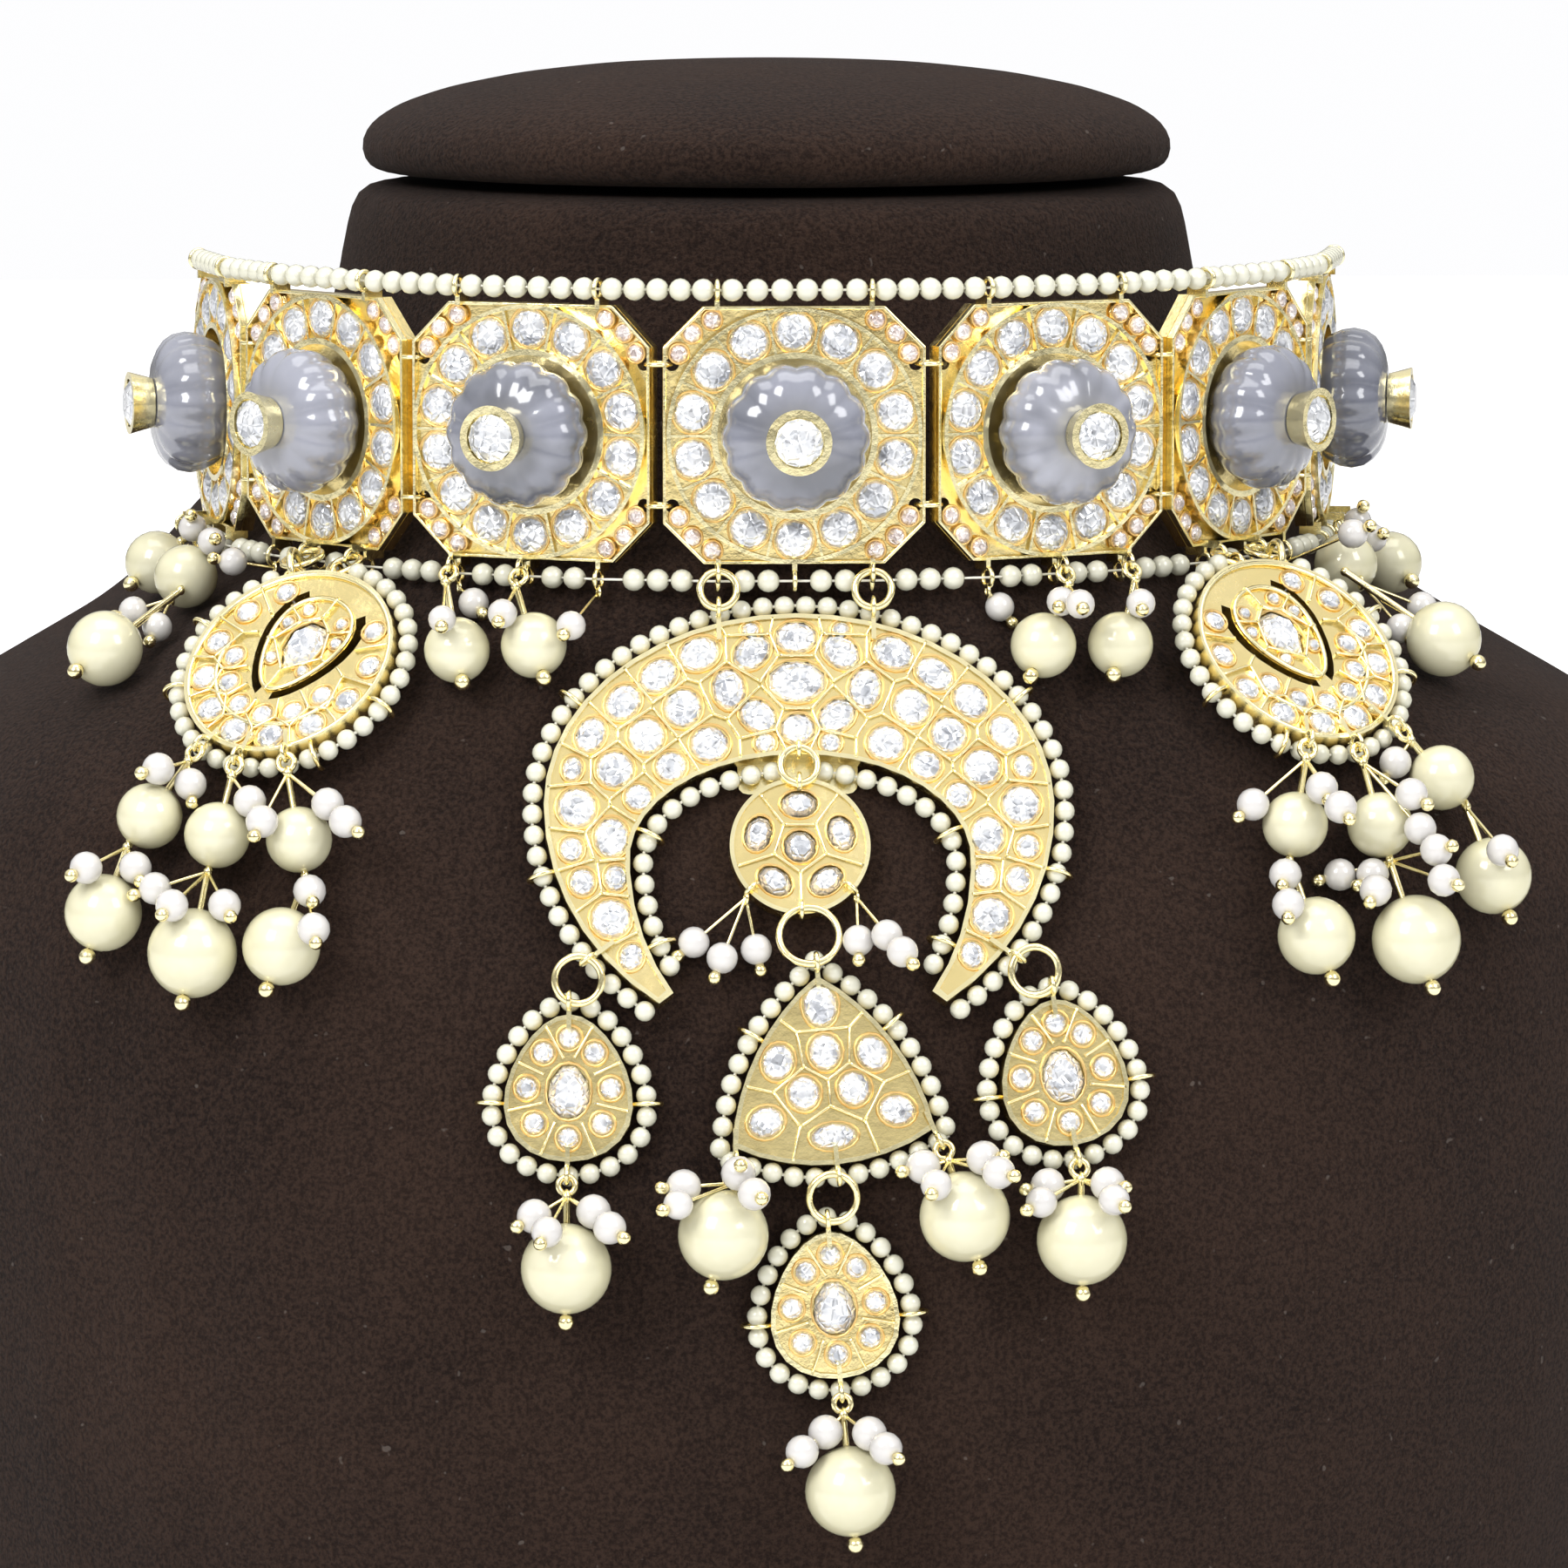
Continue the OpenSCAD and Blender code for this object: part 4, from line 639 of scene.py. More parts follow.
cells = {"plateTop": 2.4, "wallHeight": 0.62, "wallWidth": 0.34, "outlineWire": 0.32, "collarWire": 0.17,
         "stoneFoot": 1.35, "stoneHeight": 1.75}
flower = [(0, 0.505, 0.112, 0.083, 0), (0, 0.685, 0.08, 0.062, 0), (-0.175, 0.625, 0.08, 0.06, 42),
          (-0.268, 0.475, 0.062, 0.082, 8), (-0.155, 0.365, 0.078, 0.06, -38), (0, 0.312, 0.066, 0.06, 0),
          (0.155, 0.365, 0.078, 0.06, 38), (0.268, 0.475, 0.062, 0.082, -8), (0.175, 0.625, 0.08, 0.06, -42)]
hornCells = [(0.382, 0.62, 0.08, 0.062, -24), (0.178, 0.715, 0.03, 0.026, 0), (0.543, 0.532, 0.078, 0.058, -38),
             (0.45, 0.4, 0.07, 0.075, 20), (0.683, 0.423, 0.075, 0.06, -50), (0.594, 0.286, 0.068, 0.07, 10),
             (0.347, 0.252, 0.072, 0.068, 0), (0.812, 0.292, 0.07, 0.052, -62), (0.72, 0.152, 0.07, 0.07, 0),
             (0.5, 0.162, 0.058, 0.055, -35), (0.885, 0.155, 0.034, 0.045, 10), (0.628, 0.038, 0.05, 0.05, 0),
             (0.87, -0.002, 0.073, 0.076, 0), (0.736, -0.124, 0.064, 0.076, 0), (0.893, -0.17, 0.042, 0.045, 0),
             (0.852, -0.302, 0.045, 0.05, 0), (0.722, -0.287, 0.04, 0.048, 0), (0.742, -0.45, 0.074, 0.074, 0),
             (0.665, -0.603, 0.042, 0.05, 20), (0.128, 0.255, 0.036, 0.036, 0)]


def scaled(rows, k):
    return [(x * k, y * k, a * k, b * k, turn) for x, y, a, b, turn in rows]


def mirrored(rows):
    return [(side * x, y, a, b, side * turn) for x, y, a, b, turn in rows for side in (-1, 1)]


def wider(rows, extra):
    return [(x, y, a + extra, b + extra, turn) for x, y, a, b, turn in rows]


flowerStones = wider(scaled(flower, halfWidth), 0.2)
hornStones = wider(mirrored(scaled(hornCells, halfWidth)), 0.28)
triangleStones = wider(scaled([(0, 0.68, 0.14, 0.19, 0), (0, 0.215, 0.13, 0.15, 0), (-0.47, 0.16, 0.125, 0.15, -25),
                         (0.47, 0.16, 0.125, 0.15, 25), (-0.25, -0.17, 0.13, 0.14, 0),
                         (0.25, -0.17, 0.13, 0.14, 0), (-0.65, -0.42, 0.15, 0.12, 15),
                         (0.65, -0.42, 0.15, 0.12, -15), (0, -0.62, 0.2, 0.095, 0)], triangleShape["halfWidth"]), 0.5)
teardropStone = (0, -0.4, 2.62, 3.33, 0)
teardropCells = []
for i in range(8):
    a = math.radians(90 + i * 45)
    teardropCells.append((teardropShape["halfWidth"] * 0.67 * math.cos(a) * (1 - 0.2 * math.sin(a)),
                          teardropShape["halfHeight"] * 0.68 * math.sin(a), 1.42, 1.42, 0))
leafStone = (0, leafShape["middle"], 2.82, 3.54, 0)
leafCells = []
for degrees in (20, 55, 125, 160, 215, 325):
    a = math.radians(degrees)
    leafCells.append((leafShape["halfWidth"] * 0.78 * math.cos(a) * (1 + leafShape["swell"] * math.sin(a)),
                      leafShape["middle"] + leafShape["halfHeight"] * 0.78 * math.sin(a), 0.9, 0.9, 0))
moonOuterCells = []
for i in range(-5, 6):
    a, r = math.radians(-90 + i * 27.5), moonRadius * (0.15 - 0.008 * abs(i))
    moonOuterCells.append((moonRadius * 0.815 * math.cos(a), moonRadius * 0.815 * math.sin(a), r, r, 0))
moonInnerCells = []
for i in range(-3, 3):
    a = math.radians(-90 + (i + 0.5) * 30)
    moonInnerCells.append((moonRadius * 0.57 * math.cos(a), moonRadius * 0.57 * math.sin(a) - 0.3,
                           moonRadius * 0.11, moonRadius * 0.11, 0))
discStones = [(0, flowerDisc["middle"], 2.02, 2.02, 0)]
for i in range(5):
    a = math.radians(90 + i * 72)
    discStones.append((flowerDisc["radius"] * 0.62 * math.cos(a),
                       flowerDisc["middle"] + flowerDisc["radius"] * 0.62 * math.sin(a), 1.68, 2.27, 90 + i * 72))


def stonePlace(plate, row, z, grow=0.0, height=1.0):
    x, y, a, b, turn = row
    return (plate @ Matrix.Translation(Vector((x, y, z)) * mm) @ Matrix.Rotation(math.radians(turn), 4, "Z")
            @ Matrix.Diagonal((a + grow, b + grow, height, 1)))


def within(points, x, y):
    inside = False
    for (x1, y1), (x2, y2) in zip(points, points[1:] + points[:1]):
        if (y1 > y) != (y2 > y) and x < (x2 - x1) * (y - y1) / (y2 - y1) + x1:
            inside = not inside
    return inside


def cellWalls(stones, inside, reach):
    # walls along the middle lines between neighbouring stones, as (middle, direction, length)
    walls = []
    for i, one in enumerate(stones):
        for j in range(i + 1, len(stones)):
            two = stones[j]
            a, b = Vector(one[:2]), Vector(two[:2])
            gap = b - a
            if gap.length > reach:
                continue
            ra, rb = (one[2] + one[3]) / 2, (two[2] + two[3]) / 2
            middle = a + gap * (0.5 + (ra * ra - rb * rb) / (2 * gap.length_squared))
            along = Vector((-gap.y, gap.x)).normalized()
            good = []
            for n in range(-28, 29):
                p = middle + along * n * reach / 40
                own = (p - a).length_squared - ra * ra
                others = [s for k, s in enumerate(stones) if k not in (i, j)]
                if inside(p.x, p.y) and all(
                        (p - Vector(s[:2])).length_squared - ((s[2] + s[3]) / 2) ** 2 >= own - 1e-6 for s in others):
                    good.append(n)
            if len(good) > 2:
                start, end = (middle + along * n * reach / 40 for n in (good[0], good[-1]))
                walls.append(((start + end) / 2, along, (end - start).length + 0.25))
    return walls


crescentOutline = crescentOuter(-0.3, crescentShape["tipAngle"], 60)
crescentHole = crescentInner(-0.3, crescentShape["innerTipAngle"], 180 - crescentShape["innerTipAngle"], 60)
crescentRing = crescentOutline + crescentHole[::-1]
triangleOutline = trianglePoints(-0.3, 12)
teardropOutline = teardropPoints(-0.3, 40)


def leafOutline(grow):
    points = []
    for i in range(40):
        a = math.radians(i * 9)
        points.append(((leafShape["halfWidth"] + grow) * math.cos(a) * (1 + leafShape["swell"] * math.sin(a)),
                       leafShape["middle"] + (leafShape["halfHeight"] + grow) * math.sin(a)))
    return points


leafInside, leafOutside = leafOutline(0.35), leafOutline(1.9)
wallSets = [("crescent", cellWalls(flowerStones + hornStones, lambda x, y: within(crescentRing, x, y), 9)),
            ("triangle", cellWalls(triangleStones, lambda x, y: within(triangleOutline, x, y), 9)),
            ("crescent", cellWalls(discStones, lambda x, y: math.hypot(x, y - flowerDisc["middle"]) < 8, 9))]
for which in ("teardrop_left", "teardrop_right", "teardrop_low"):
    wallSets.append((which, cellWalls(teardropCells, lambda x, y: within(teardropOutline, x, y)
                                      and not (x / 3.4) ** 2 + ((y + 0.4) / 4.1) ** 2 < 1, 6)))
for which in ("moon_left", "moon_right"):
    wallSets.append((which, cellWalls(moonOuterCells + moonInnerCells,
                                      lambda x, y: math.hypot(x, y) < 13.1 and not within(leafOutside, x, y), 8)))
    wallSets.append((which, cellWalls([leafStone] + leafCells, lambda x, y: within(leafInside, x, y), 8)))

wallParts = []
for which, walls in wallSets:
    for middle, along, length in walls:
        strip = railStrip(1, cells["wallWidth"], cells["wallHeight"])
        strip.matrix_world = (plates[which] @ Matrix.Translation(Vector((middle.x, middle.y, cells["plateTop"])) * mm)
                              @ Matrix.Rotation(math.atan2(along.y, along.x), 4, "Z")
                              @ Matrix.Diagonal((length, 1, 1, 1)))
        wallParts.append(strip)
for which in ("moon_left", "moon_right"):
    ring = circlePoints(moonRadius * 0.7, -168, 156, 26)
    brim = circlePoints(moonRadius * 0.965, 0, 352, 44)
    for line, closed in ((leafOutline(0), True), (brim, True), (ring, False)):
        wallParts.append(wireAlong("outline", [at(plates[which], x, y, cells["plateTop"] + 0.25) for x, y in line],
                                   cells["outlineWire"], closed))
settle(joinPieces(wallParts), "cell_walls", gold)
print("cell walls:", len(wallParts))

stoneRows = [("crescent", hornStones + flowerStones), ("triangle", triangleStones),
             ("teardrop_left", teardropCells), ("teardrop_right", teardropCells), ("teardrop_low", teardropCells)]
for which in ("moon_left", "moon_right"):
    stoneRows.append((which, moonOuterCells + moonInnerCells + leafCells))
layCopies("small_stones", cutStone(1, 1), [
    stonePlace(plates[which], row, cells["stoneFoot"] + (0.3 if row[2] < 1.1 else 0), -0.06,
               cells["stoneHeight"] - (0.3 if row[2] < 1.1 else 0)) for which, rows in stoneRows for row in rows],
    stoneMaterial, ("crescent_stones", "triangle_stones"))
collarRows = stoneRows + [("crescent", discStones)]
collarRows += [(which, [teardropStone]) for which in ("teardrop_left", "teardrop_right", "teardrop_low")]
collarRows += [(which, [leafStone]) for which in ("moon_left", "moon_right")]
collars = []
for which, rows in collarRows:
    for row in rows:
        size = max(row[2], row[3]) + 0.12
        ring = wireRing(size, cells["collarWire"], 16, 5)
        ring.matrix_world = stonePlace(plates[which], (row[0], row[1], (row[2] + 0.12) / size,
                                                        (row[3] + 0.12) / size, row[4]), cells["plateTop"] + 0.1)
        collars.append(ring)
settle(joinPieces(collars), "stone_collars", shadedCollarGold)
print("small stones and collars set")


# plaque corners, rims and collars

plaqueTrim = {"rimHeight": 0.95, "rimWidth": 0.42, "cornerStone": 1.12, "cornerRing": 17.0,
              "cornerSpread": 9.6, "polkiRing": 12.5, "polkiRadius": 2.48,
              "polkiFoot": 1.25, "polkiHeight": 1.9}


def octagonRim():
    # block with its four upright corners cut off, opened top and bottom and thickened inwards
    clearPicks()
    bpy.ops.mesh.primitive_cube_add(size=1, location=(0, 0, (1.4 + plaqueTrim["rimHeight"] / 2) * mm))
    rim = bpy.context.object
    rim.scale = (choker["width"] * mm, choker["height"] * mm, plaqueTrim["rimHeight"] * mm)
    bpy.ops.object.transform_apply(location=True, scale=True)
    pick(rim, "EDGE", lambda a, b: abs(a.x - b.x) < 1e-6 and abs(a.y - b.y) < 1e-6)
    bpy.ops.mesh.bevel(offset=choker["cornerCut"] * mm, segments=1, affect="EDGES")
    bpy.ops.object.mode_set(mode="OBJECT")
    pick(rim, "FACE", lambda centre, normal: abs(normal.z) > 0.9)
    bpy.ops.mesh.delete(type="FACE")
    bpy.ops.mesh.select_all(action="SELECT")
    bpy.ops.mesh.normals_make_consistent(inside=False)
    bpy.ops.object.mode_set(mode="OBJECT")
    wall = rim.modifiers.new("wall", "SOLIDIFY")
    wall.thickness = plaqueTrim["rimWidth"] * mm
    wall.offset = -1
    bpy.ops.object.modifier_apply(modifier="wall")
    soft = rim.modifiers.new("soft", "BEVEL")
    soft.width = 0.1 * mm
    soft.segments = 2
    bpy.ops.object.modifier_apply(modifier="soft")
    return rim


layCopies("plaque_rims", octagonRim(), [plaquePlace(k) for k in range(1, 8)], gold)
corners = []
for k in range(1, 8):
    for quarter in range(4):
        for step in (-1, 0, 1):
            a = math.radians(45 + quarter * 90 + step * plaqueTrim["cornerSpread"])
            r = plaqueTrim["cornerRing"] + (0.35 if step == 0 else 0)
            corners.append(plaquePlace(k) @ Matrix.Translation(Vector((r * math.cos(a), r * math.sin(a), 1.42)) * mm))
s = plaqueTrim["cornerStone"]
layCopies("corner_stones", cutStone(s, 1.15, 8), corners, sparkleMaterial)
ring = wireRing(s + 0.08, 0.16, 14, 5)
layCopies("corner_collars", ring, [place @ Matrix.Translation((0, 0, 0.55 * mm)) for place in corners],
          shadedCollarGold)
polkiPlaces = []
polki = cutStone(plaqueTrim["polkiRadius"], plaqueTrim["polkiHeight"], 12, 0.5)
for k in range(1, 8):
    ringPlaces = []
    for i in range(14):
        a = math.radians(90 - i * 360 / 14)
        r = plaqueTrim["polkiRing"]
        spot = Vector((r * math.cos(a), r * math.sin(a), plaqueTrim["polkiFoot"])) * mm
        ringPlaces.append(plaquePlace(k) @ Matrix.Translation(spot))
    layCopies(f"polki_ring_{k}", polki, ringPlaces, stoneMaterial, (f"polki_{k}",), keepMaster=True)
    polkiPlaces += [place @ Matrix.Translation((0, 0, 1.2 * mm)) for place in ringPlaces]
bpy.data.objects.remove(polki)
layCopies("polki_collars", wireRing(plaqueTrim["polkiRadius"] + 0.1, 0.15, 18, 5), polkiPlaces, shadedCollarGold)
print("plaques trimmed")


# sprays of small white pearls on ball-ended pins
# each row: where the pins hang, then the pearls as (x, y, z, radius), all in millimetres

sprayPearls = [
    ((-73, -70.8, 129.7), [(-76.5, -73.9, 129.2, 2), (-72.7, -73, 127.2, 2)]),
    ((-80.3, -73.1, 119.7), [(-85.1, -78.6, 117.9, 2), (-79.3, -76.4, 117.6, 2)]),
    ((-70.6, -78.3, 117.3), [(-76.9, -78.9, 115.4, 2), (-74.7, -86.6, 114.4, 2), (-68.5, -85.2, 114.2, 2)]),
    ((-67.7, -74.6, 128.3), [(-65.5, -78.8, 125.8, 2)]),
    ((-61, -77.2, 129), [(-64, -83.6, 124, 2), (-56.2, -82.5, 125.9, 2), (-54.1, -85.7, 124.2, 2)]),
    ((-58.9, -81.8, 117.1), [(-58.4, -84.9, 115.8, 2), (-57.9, -90.4, 112, 2)]),
    ((61.4, -76.7, 129.9), [(54.6, -81.1, 125, 2), (62.7, -82.5, 127.1, 2), (64.6, -85.7, 125.2, 2)]),
    ((59, -81.3, 118.1), [(58.2, -84.3, 116.9, 2), (58.1, -88.7, 113.9, 2)]),
    ((71.6, -77.8, 117.6), [(65.5, -77.9, 116, 2), (69.3, -79.3, 116.2, 2), (69.2, -83.3, 114.8, 2),
      (76.4, -83.8, 119.7, 2), (77, -86.4, 116.4, 2)]),
    ((75.1, -68.5, 131.1), [(73.1, -69.8, 128.6, 2)]),
    ((68.6, -74, 129.1), [(73.9, -79.4, 125.9, 2), (74.8, -80.8, 121.9, 2)]),
    ((81.8, -69.4, 123.1), [(85, -79.2, 119, 2)]),
    ((-41.9, -64.1, 150.5), [(-42.4, -75.1, 147.2, 1.7)]),
    ((-40.2, -60.7, 149.7), [(-38.5, -64, 148, 1.9)]),
    ((-33.4, -68, 150.4), [(-35.2, -75.8, 147.9, 1.8)]),
    ((-23.5, -68.9, 149.7), [(-27, -76.6, 146.5, 1.8)]),
    ((23.5, -68.9, 149.7), [(25, -68.7, 147.7, 1.8)]),
    ((33.4, -67.9, 150.3), [(31.9, -75.4, 149, 1.8), (33.9, -78.6, 149, 1.8)]),
    ((41.9, -64.1, 150.5), [(41.7, -73.1, 148.5, 1.8)]),
    ((-6.6, -88, 115), [(-12.8, -88.4, 109.8, 1.9), (-9.5, -89.8, 108.1, 1.9), (-5.4, -89, 109, 1.9)]),
    ((6.6, -88, 115), [(6.6, -91.3, 110.3, 1.9), (9.9, -93.3, 111.2, 1.9), (11.5, -96.7, 109.7, 1.9)]),
    ((-8.3, -98.6, 82.5), [(-14.5, -100.7, 82.5, 2.1), (-8.1, -101.7, 84.2, 2.1), (-6.4, -105.1, 82.3, 2),
      (-15.3, -104.5, 81, 1.8)]),
    ((17, -97.6, 84.8), [(13.9, -98.8, 84.3, 2.1), (20.9, -100.6, 85.6, 2.1), (22.4, -104.4, 84.5, 2),
      (15.1, -103.9, 83, 1.9)]),
    ((-28.2, -97.2, 80.8), [(-32.1, -100.1, 79, 2.1), (-25.1, -99.6, 79.4, 2.1), (-23.3, -103.2, 78.1, 2),
      (-30.7, -103.9, 77.8, 1.9)]),
    ((32.8, -96.7, 82.3), [(28.8, -97.3, 81.7, 2.1), (27.7, -101.3, 80.4, 1.9), (35.7, -99.6, 82.2, 2.1),
      (36.1, -103.6, 81, 1.9)]),
    ((4.4, -100.2, 54.9), [(2.2, -101.6, 53.1, 2.1), (7.3, -103.2, 53.2, 2.1), (-0.7, -104.1, 51.3, 2),
      (9, -107.1, 52.2, 2)]),
    ((-72.9, -24.2, 150.7), [(-73.2, -27.6, 154, 1.8), (-70.7, -34.6, 152.9, 1.8)]),
    ((-62.8, -36.7, 149.7), [(-68, -38, 150.7, 1.8)]),
    ((-75.6, -36.6, 146), [(-77.4, -40.2, 142.8, 1.9), (-80.4, -37.6, 144.6, 1.8)]),
    ((72.5, -38, 147.4), [(76.6, -45.6, 142.4, 1.9), (80.4, -36.4, 144.2, 1.9)]),
    ((62.8, -36.7, 149.7), [(71, -41.6, 153.9, 1.9)]),
    ((72.4, -24.1, 150.3), [(73.4, -26.4, 154, 1.8), (75, -29.6, 152.2, 1.8)]),
]
pins = {"wire": 0.22, "ball": 0.85, "eye": 0.75}
balls, pearls, pinWires = [], [], []
for hang, group in sprayPearls:
    hang = Vector(hang) * mm
    pinWires.append(("eye", hang, None))
    for x, y, z, r in group:
        spot = Vector((x, y, z)) * mm
        along = (spot - hang).normalized()
        pearls.append(facing(spot, along) @ Matrix.Diagonal((r / 2, r / 2, r / 2, 1)))
        end = spot + along * (r + pins["ball"] * 0.8) * mm
        balls.append(facing(end, along))
        pinWires.append(("pin", hang, end))
layCopies("spray_pearls", drilledBead(4, 16, 10, 0.06), pearls, whitePearl)
clearPicks()
bpy.ops.mesh.primitive_uv_sphere_add(segments=10, ring_count=7, radius=pins["ball"] * mm)
ball = bpy.context.object
pick(ball, "VERT", lambda co: co.z < -0.9 * pins["ball"] * mm)    # drawn out where the ball meets its wire
bpy.ops.transform.translate(value=(0, 0, -0.15 * mm))
layCopies("spray_balls", doneShaping(ball, 80), balls, polishedGold)
parts = []
for kind, start, end in pinWires:
    if kind == "pin":
        parts.append(wireAlong("pin", [start, end], pins["wire"]))
    else:
        ring = wireRing(pins["eye"], pins["wire"], 14, 6)
        ring.matrix_world = facing(start, (1, 0.2, 0))
        parts.append(ring)
settle(joinPieces(parts), "spray_pins", polishedGold)
print("sprays hung")


# materials for the pieces that come straight from the frame

melon = {"diameter": 18, "height": 9.6, "foot": 1.12, "lobes": 14, "pointsPerLobe": 6, "bore": 0.9,
         "profile": [(0.55, 0), (0.76, 0.07), (0.9, 0.22), (0.975, 0.38), (1, 0.54), (0.965, 0.7), (0.88, 0.82),
                     (0.76, 0.905), (0.62, 0.96), (0.46, 0.99), (0.3, 1)]}


def melonBead():
    # a bored bead drawn up ring by ring, then its grooves pressed in between the lobes
    m, around = melon, melon["lobes"] * melon["pointsPerLobe"]
    clearPicks()
    bpy.ops.mesh.primitive_circle_add(vertices=around, radius=m["bore"] * mm, location=(0, 0, m["foot"] * mm))
    bead = bpy.context.object
    bpy.ops.object.transform_apply(location=True)
    bpy.ops.object.mode_set(mode="EDIT")
    bpy.ops.mesh.select_all(action="SELECT")
    wide, tall = m["bore"], 0
    for share, rise in m["profile"] + [(m["bore"] * 2 / m["diameter"], 1), (m["bore"] * 2 / m["diameter"], 0)]:
        bpy.ops.mesh.extrude_region_move(
            TRANSFORM_OT_translate={"value": (0, 0, (rise - tall) * m["height"] * mm)})
        grow = share * m["diameter"] / 2 / wide
        bpy.ops.transform.resize(value=(grow, grow, 1), center_override=(0, 0, 0))
        wide, tall = share * m["diameter"] / 2, rise
    bpy.ops.mesh.select_all(action="SELECT")
    bpy.ops.mesh.remove_doubles(threshold=0.00001)
    for nearest, deep in ((0, 0.945), (1, 0.972), (2, 0.994)):
        def inGroove(co):
            column = round(math.degrees(math.atan2(co.y, co.x)) * around / 360) + m["pointsPerLobe"] // 2
            offGroove = min(column % m["pointsPerLobe"], -column % m["pointsPerLobe"])
            return offGroove == nearest and co.xy.length > 0.4 * m["diameter"] / 2 * mm
        pick(bead, "VERT", inGroove)
        bpy.ops.transform.resize(value=(deep, deep, 1), center_override=(0, 0, 0))
    doneShaping(bead, 60)
    layer = bead.data.uv_layers.new(name="Streaks")
    for face in bead.data.polygons:
        turns = [math.atan2(bead.data.vertices[v].co.y, bead.data.vertices[v].co.x) / math.tau
                 for v in face.vertices]
        for loop, v, turn in zip(face.loop_indices, face.vertices, turns):
            co = bead.data.vertices[v].co
            layer.data[loop].uv = (turn + (1 if max(turns) - turn > 0.5 else 0),
                                   co.z / (m["height"] * mm) - co.xy.length / (m["diameter"] * mm))
    return bead


meltedGlass = {"body": (0.18, 0.19, 0.24, 1), "milk": (0.44, 0.45, 0.52, 1), "clear": (0.07, 0.075, 0.09, 1),
               "clearness": (0.15, 0.05, 0.75, 0.5, 0.7, 0.08, 0.15)}


def melonGlassGroup():
    # carved milky glass: streaks run out from the middle of the bead, with clearer, darker patches
    g, a, z = newGroup("Melon glass", [
        ("Body", "Color", meltedGlass["body"]), ("Milk", "Color", meltedGlass["milk"]),
        ("Clear", "Color", meltedGlass["clear"]), ("Clearness", "Float", 0.3), ("Bead", "Float", 1)],
        [("Colour", "Color"), ("Roughness", "Float"), ("Height", "Float")])
    place = addNode(g, "ShaderNodeTexCoord")
    stretched = addNode(g, "ShaderNodeVectorMath", operation="MULTIPLY")
    g.links.new(place.outputs["UV"], stretched.inputs[0])
    stretched.inputs[1].default_value = (60, 1.6, 1)
    shifted = addNode(g, "ShaderNodeVectorMath", operation="ADD")
    g.links.new(stretched.outputs["Vector"], shifted.inputs[0])
    g.links.new(a.outputs["Bead"], shifted.inputs[1])
    streaks = noiseOn(g, shifted.outputs["Vector"], 1.0, 3, 0.55)
    cloud = noiseOn(g, place.outputs["Object"], 130, 2, 0.5)
    node, fac, low, high, out = mixColours(g)
    g.links.new(ramp(g, streaks, 0.4, 0.62), fac)
    g.links.new(a.outputs["Body"], low)
    g.links.new(a.outputs["Milk"], high)
    dark, fac, low, high, clearer = mixColours(g)
    g.links.new(combine(g, "MULTIPLY", a.outputs["Clearness"], ramp(g, cloud, 0.4, 0.62)), fac)
    g.links.new(out, low)
    g.links.new(a.outputs["Clear"], high)
    g.links.new(clearer, z.inputs["Colour"])
    g.links.new(ramp(g, streaks, 0.3, 0.7, 0.12, 0.26), z.inputs["Roughness"])
    g.links.new(streaks, z.inputs["Height"])
    return g


groups["melon"] = melonGlassGroup()
master = melonBead()
for k in range(1, 8):
    glass = newMaterial(f"Melon glass {k}", "melon", {"Clearness": meltedGlass["clearness"][k - 1], "Bead": k * 7.3},
                        0.35, 0.0003, Transmission_Weight=0.2, IOR=1.5, Coat_Weight=1.0, Coat_Roughness=0.05)[0]
    layCopies(f"melon_bead_{k}", master, [plaquePlace(k)], glass, (f"melon_{k}",), keepMaster=True)
bpy.data.objects.remove(master)
print("melon beads carved")


# suede cover of the bust

cover = {"voxel": 2.4, "rounds": 14, "capVoxel": 1.6, "capRounds": 10, "capSwell": 2.2}


def suedeCover(node, voxel, rounds):
    # the plain solid under it copied, remeshed finely and eased until its flats are gone
    clearPicks()
    skin = nodes[node].copy()
    skin.data = nodes[node].data.copy()
    skin.parent = None
    skin.matrix_world = nodes[node].matrix_world
    bpy.context.collection.objects.link(skin)
    skin.select_set(True)
    bpy.context.view_layer.objects.active = skin
    skin.data.remesh_voxel_size = voxel * mm
    bpy.ops.object.voxel_remesh()
    eased = skin.modifiers.new("eased", "SMOOTH")
    eased.factor = 0.5
    eased.iterations = rounds
    bpy.ops.object.modifier_apply(modifier="eased")
    bpy.ops.object.shade_smooth()
    return skin


skin = suedeCover("neck_bust", cover["voxel"], cover["rounds"])
settle(skin, "bust_cover", suede, ("neck_bust",))
skin = suedeCover("bust_cap", cover["capVoxel"], cover["capRounds"])
topMost = max(v.co.z for v in skin.data.vertices)
pick(skin, "VERT", lambda co: co.z > topMost - 0.0015 and co.xy.length < 0.012)
bpy.ops.transform.translate(value=(0, 0, cover["capSwell"] * mm), use_proportional_edit=True,
                            proportional_edit_falloff="SMOOTH", proportional_size=0.07)
doneShaping(skin, 0)
settle(skin, "cap_cover", suede, ("bust_cap",))
print("bust covered")


fullerWire = {"rings": 0.17, "pins": 0.1}


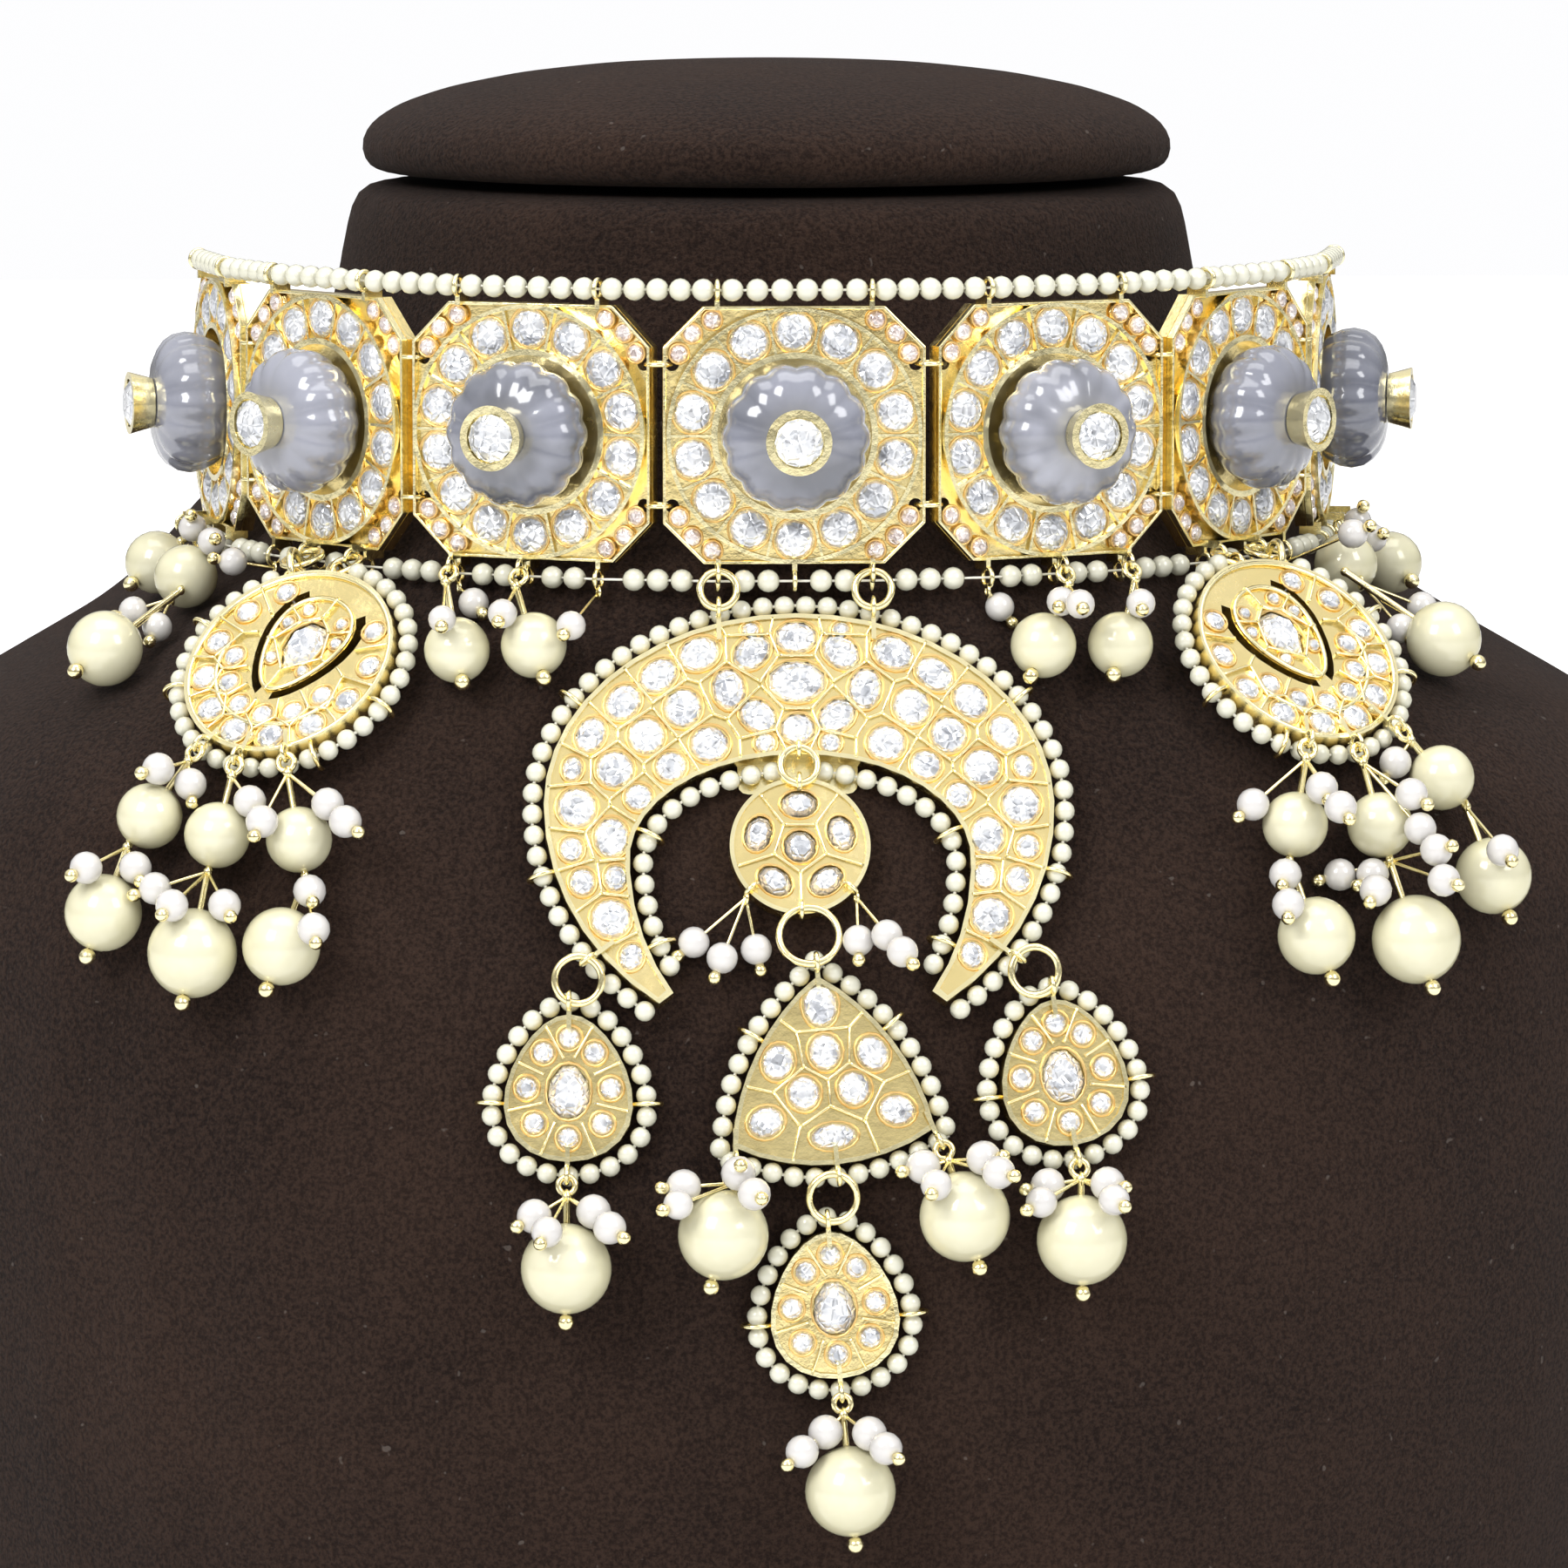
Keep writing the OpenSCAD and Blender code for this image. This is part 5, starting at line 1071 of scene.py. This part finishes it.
def thickenedWire(name, node, extra):
    # the thin rings of the frame with the fuller wire of real jump rings
    clearPicks()
    wires = nodes[node].copy()
    wires.data = nodes[node].data.copy()
    wires.parent = None
    wires.matrix_world = nodes[node].matrix_world
    bpy.context.collection.objects.link(wires)
    wires.select_set(True)
    bpy.context.view_layer.objects.active = wires
    bpy.ops.object.mode_set(mode="EDIT")
    bpy.ops.mesh.select_all(action="SELECT")
    bpy.ops.mesh.remove_doubles(threshold=0.002 * mm)
    bpy.ops.object.mode_set(mode="OBJECT")
    fuller = wires.modifiers.new("fuller", "DISPLACE")
    fuller.strength = extra * mm
    fuller.mid_level = 0
    bpy.ops.object.modifier_apply(modifier="fuller")
    bpy.ops.object.shade_smooth()
    return settle(wires, name, polishedGold, (node,))


thickenedWire("jump_rings", "hanger_rings", fullerWire["rings"])
thickenedWire("pearl_pins", "drop_pins", fullerWire["pins"])
print("rings and pins thickened")


def dress(node, material):
    for slotUsed in nodes[node].material_slots:
        slotUsed.material = material


for name in nodes:
    if name.endswith("_stones"):
        dress(name, stoneMaterial)
    elif name == "drop_pearls":
        dress(name, creamPearl)
    else:
        dress(name, gold)
for k in range(1, 8):
    dress(f"plaque_{k}", plateGold(f"Plaque gold {k}", plaquePlace(k), 2.42, 2.8))
for which, place in plates.items():
    dress(which, plateGold(which.replace("_", " ") + " gold", place, 2.42, 2.8))
dress("disc", plateGold("disc gold", plates["crescent"], 2.42, 2.8))
dress("plaque_links", polishedGold)
cordGold = newMaterial("Twisted gold thread", "gold", {
    "Hollow Colour": (0.35, 0.2, 0.05, 1), "Rubbed Colour": (0.75, 0.55, 0.22, 1), "Height Mask": 0.5,
    "Grain Scale": 2500.0, "Smoothness": 0.1}, 0.8, 0.0004, Metallic=0.5)[0]
dress("back_cord", cordGold)
print("frame pieces dressed")


# floor, light and camera

studio = {"wall": (0.94, 0.94, 0.95), "wallLow": 0.22, "wallHigh": 0.9, "wallSeen": 1.05, "floorGlow": 0.12,
          "floorSeen": 0.6, "keyPower": 7.2, "fillPower": 3.4, "topPower": 3}
clearPicks()
bpy.ops.mesh.primitive_plane_add(size=6, location=(0, 0, -0.0005))
floor = bpy.context.object
floor.name = "floor"
floorMaterial = bpy.data.materials.new("Pale floor")
floorMaterial.use_nodes = True
floorShader = floorMaterial.node_tree.nodes["Principled BSDF"]
floorShader.inputs["Base Color"].default_value = (0.86, 0.86, 0.86, 1)
floorShader.inputs["Roughness"].default_value = 0.9
floorShader.inputs["Emission Color"].default_value = (1, 1, 1, 1)
rays = floorMaterial.node_tree.nodes.new("ShaderNodeLightPath")   # white to the eye, with less light from below
floorMaterial.node_tree.links.new(ramp(floorMaterial.node_tree, rays.outputs["Is Camera Ray"], 0, 1,
                                       studio["floorGlow"], studio["floorSeen"]),
                                  floorShader.inputs["Emission Strength"])
floor.data.materials.append(floorMaterial)

world = bpy.data.worlds.new("Studio") if not bpy.data.worlds else bpy.data.worlds[0]
bpy.context.scene.world = world
world.use_nodes = True
background = world.node_tree.nodes["Background"]
background.inputs["Color"].default_value = (*studio["wall"], 1)
rays = world.node_tree.nodes.new("ShaderNodeLightPath")
seen = world.node_tree.nodes.new("ShaderNodeMapRange")   # the wall looks white behind the bust, and lights it less
height = world.node_tree.nodes.new("ShaderNodeSeparateXYZ")
world.node_tree.links.new(world.node_tree.nodes.new("ShaderNodeTexCoord").outputs["Generated"], height.inputs[0])
# dark low down and bright high up, so that metal and pearls show their curves
upwards = ramp(world.node_tree, height.outputs["Z"], 0.05, 0.5, studio["wallLow"], studio["wallHigh"])
world.node_tree.links.new(upwards, seen.inputs["To Min"])
seen.inputs["To Max"].default_value = studio["wallSeen"]
world.node_tree.links.new(rays.outputs["Is Camera Ray"], seen.inputs["Value"])
world.node_tree.links.new(seen.outputs["Result"], background.inputs["Strength"])


def softLight(name, spot, aim, size, power):
    clearPicks()
    bpy.ops.object.light_add(type="AREA", location=spot)
    lamp = bpy.context.object
    lamp.name = name
    lamp.data.shape = "RECTANGLE"
    lamp.data.size, lamp.data.size_y = size
    lamp.data.energy = power
    lamp.rotation_euler = (Vector(aim) - Vector(spot)).to_track_quat("-Z", "Y").to_euler()
    return lamp


neck = (0, -0.06, 0.13)
softLight("left softbox", (-0.55, -0.75, 0.75), neck, (0.4, 0.5), studio["keyPower"])
softLight("right softbox", (0.6, -0.7, 0.7), neck, (0.35, 0.5), studio["fillPower"])
softLight("overhead", (0, -0.1, 0.95), neck, (0.8, 0.5), studio["topPower"])

camera = {"azimuth": -2.8, "elevation": 7.0, "distance": 1.0, "target": (-0.0012, -0.0705, 0.1265), "lens": 190}
a, e = math.radians(camera["azimuth"]), math.radians(camera["elevation"])
back = Vector((math.sin(a) * math.cos(e), -math.cos(a) * math.cos(e), math.sin(e)))
clearPicks()
bpy.ops.object.camera_add(location=Vector(camera["target"]) + back * camera["distance"])
eye = bpy.context.object
eye.rotation_euler = back.to_track_quat("Z", "Y").to_euler()
eye.data.lens = camera["lens"]
eye.data.sensor_width = 36
eye.data.clip_end = 20
eye.data.dof.use_dof = False
bpy.context.scene.camera = eye
bpy.context.scene.view_settings.view_transform = "Standard"
print("studio set")
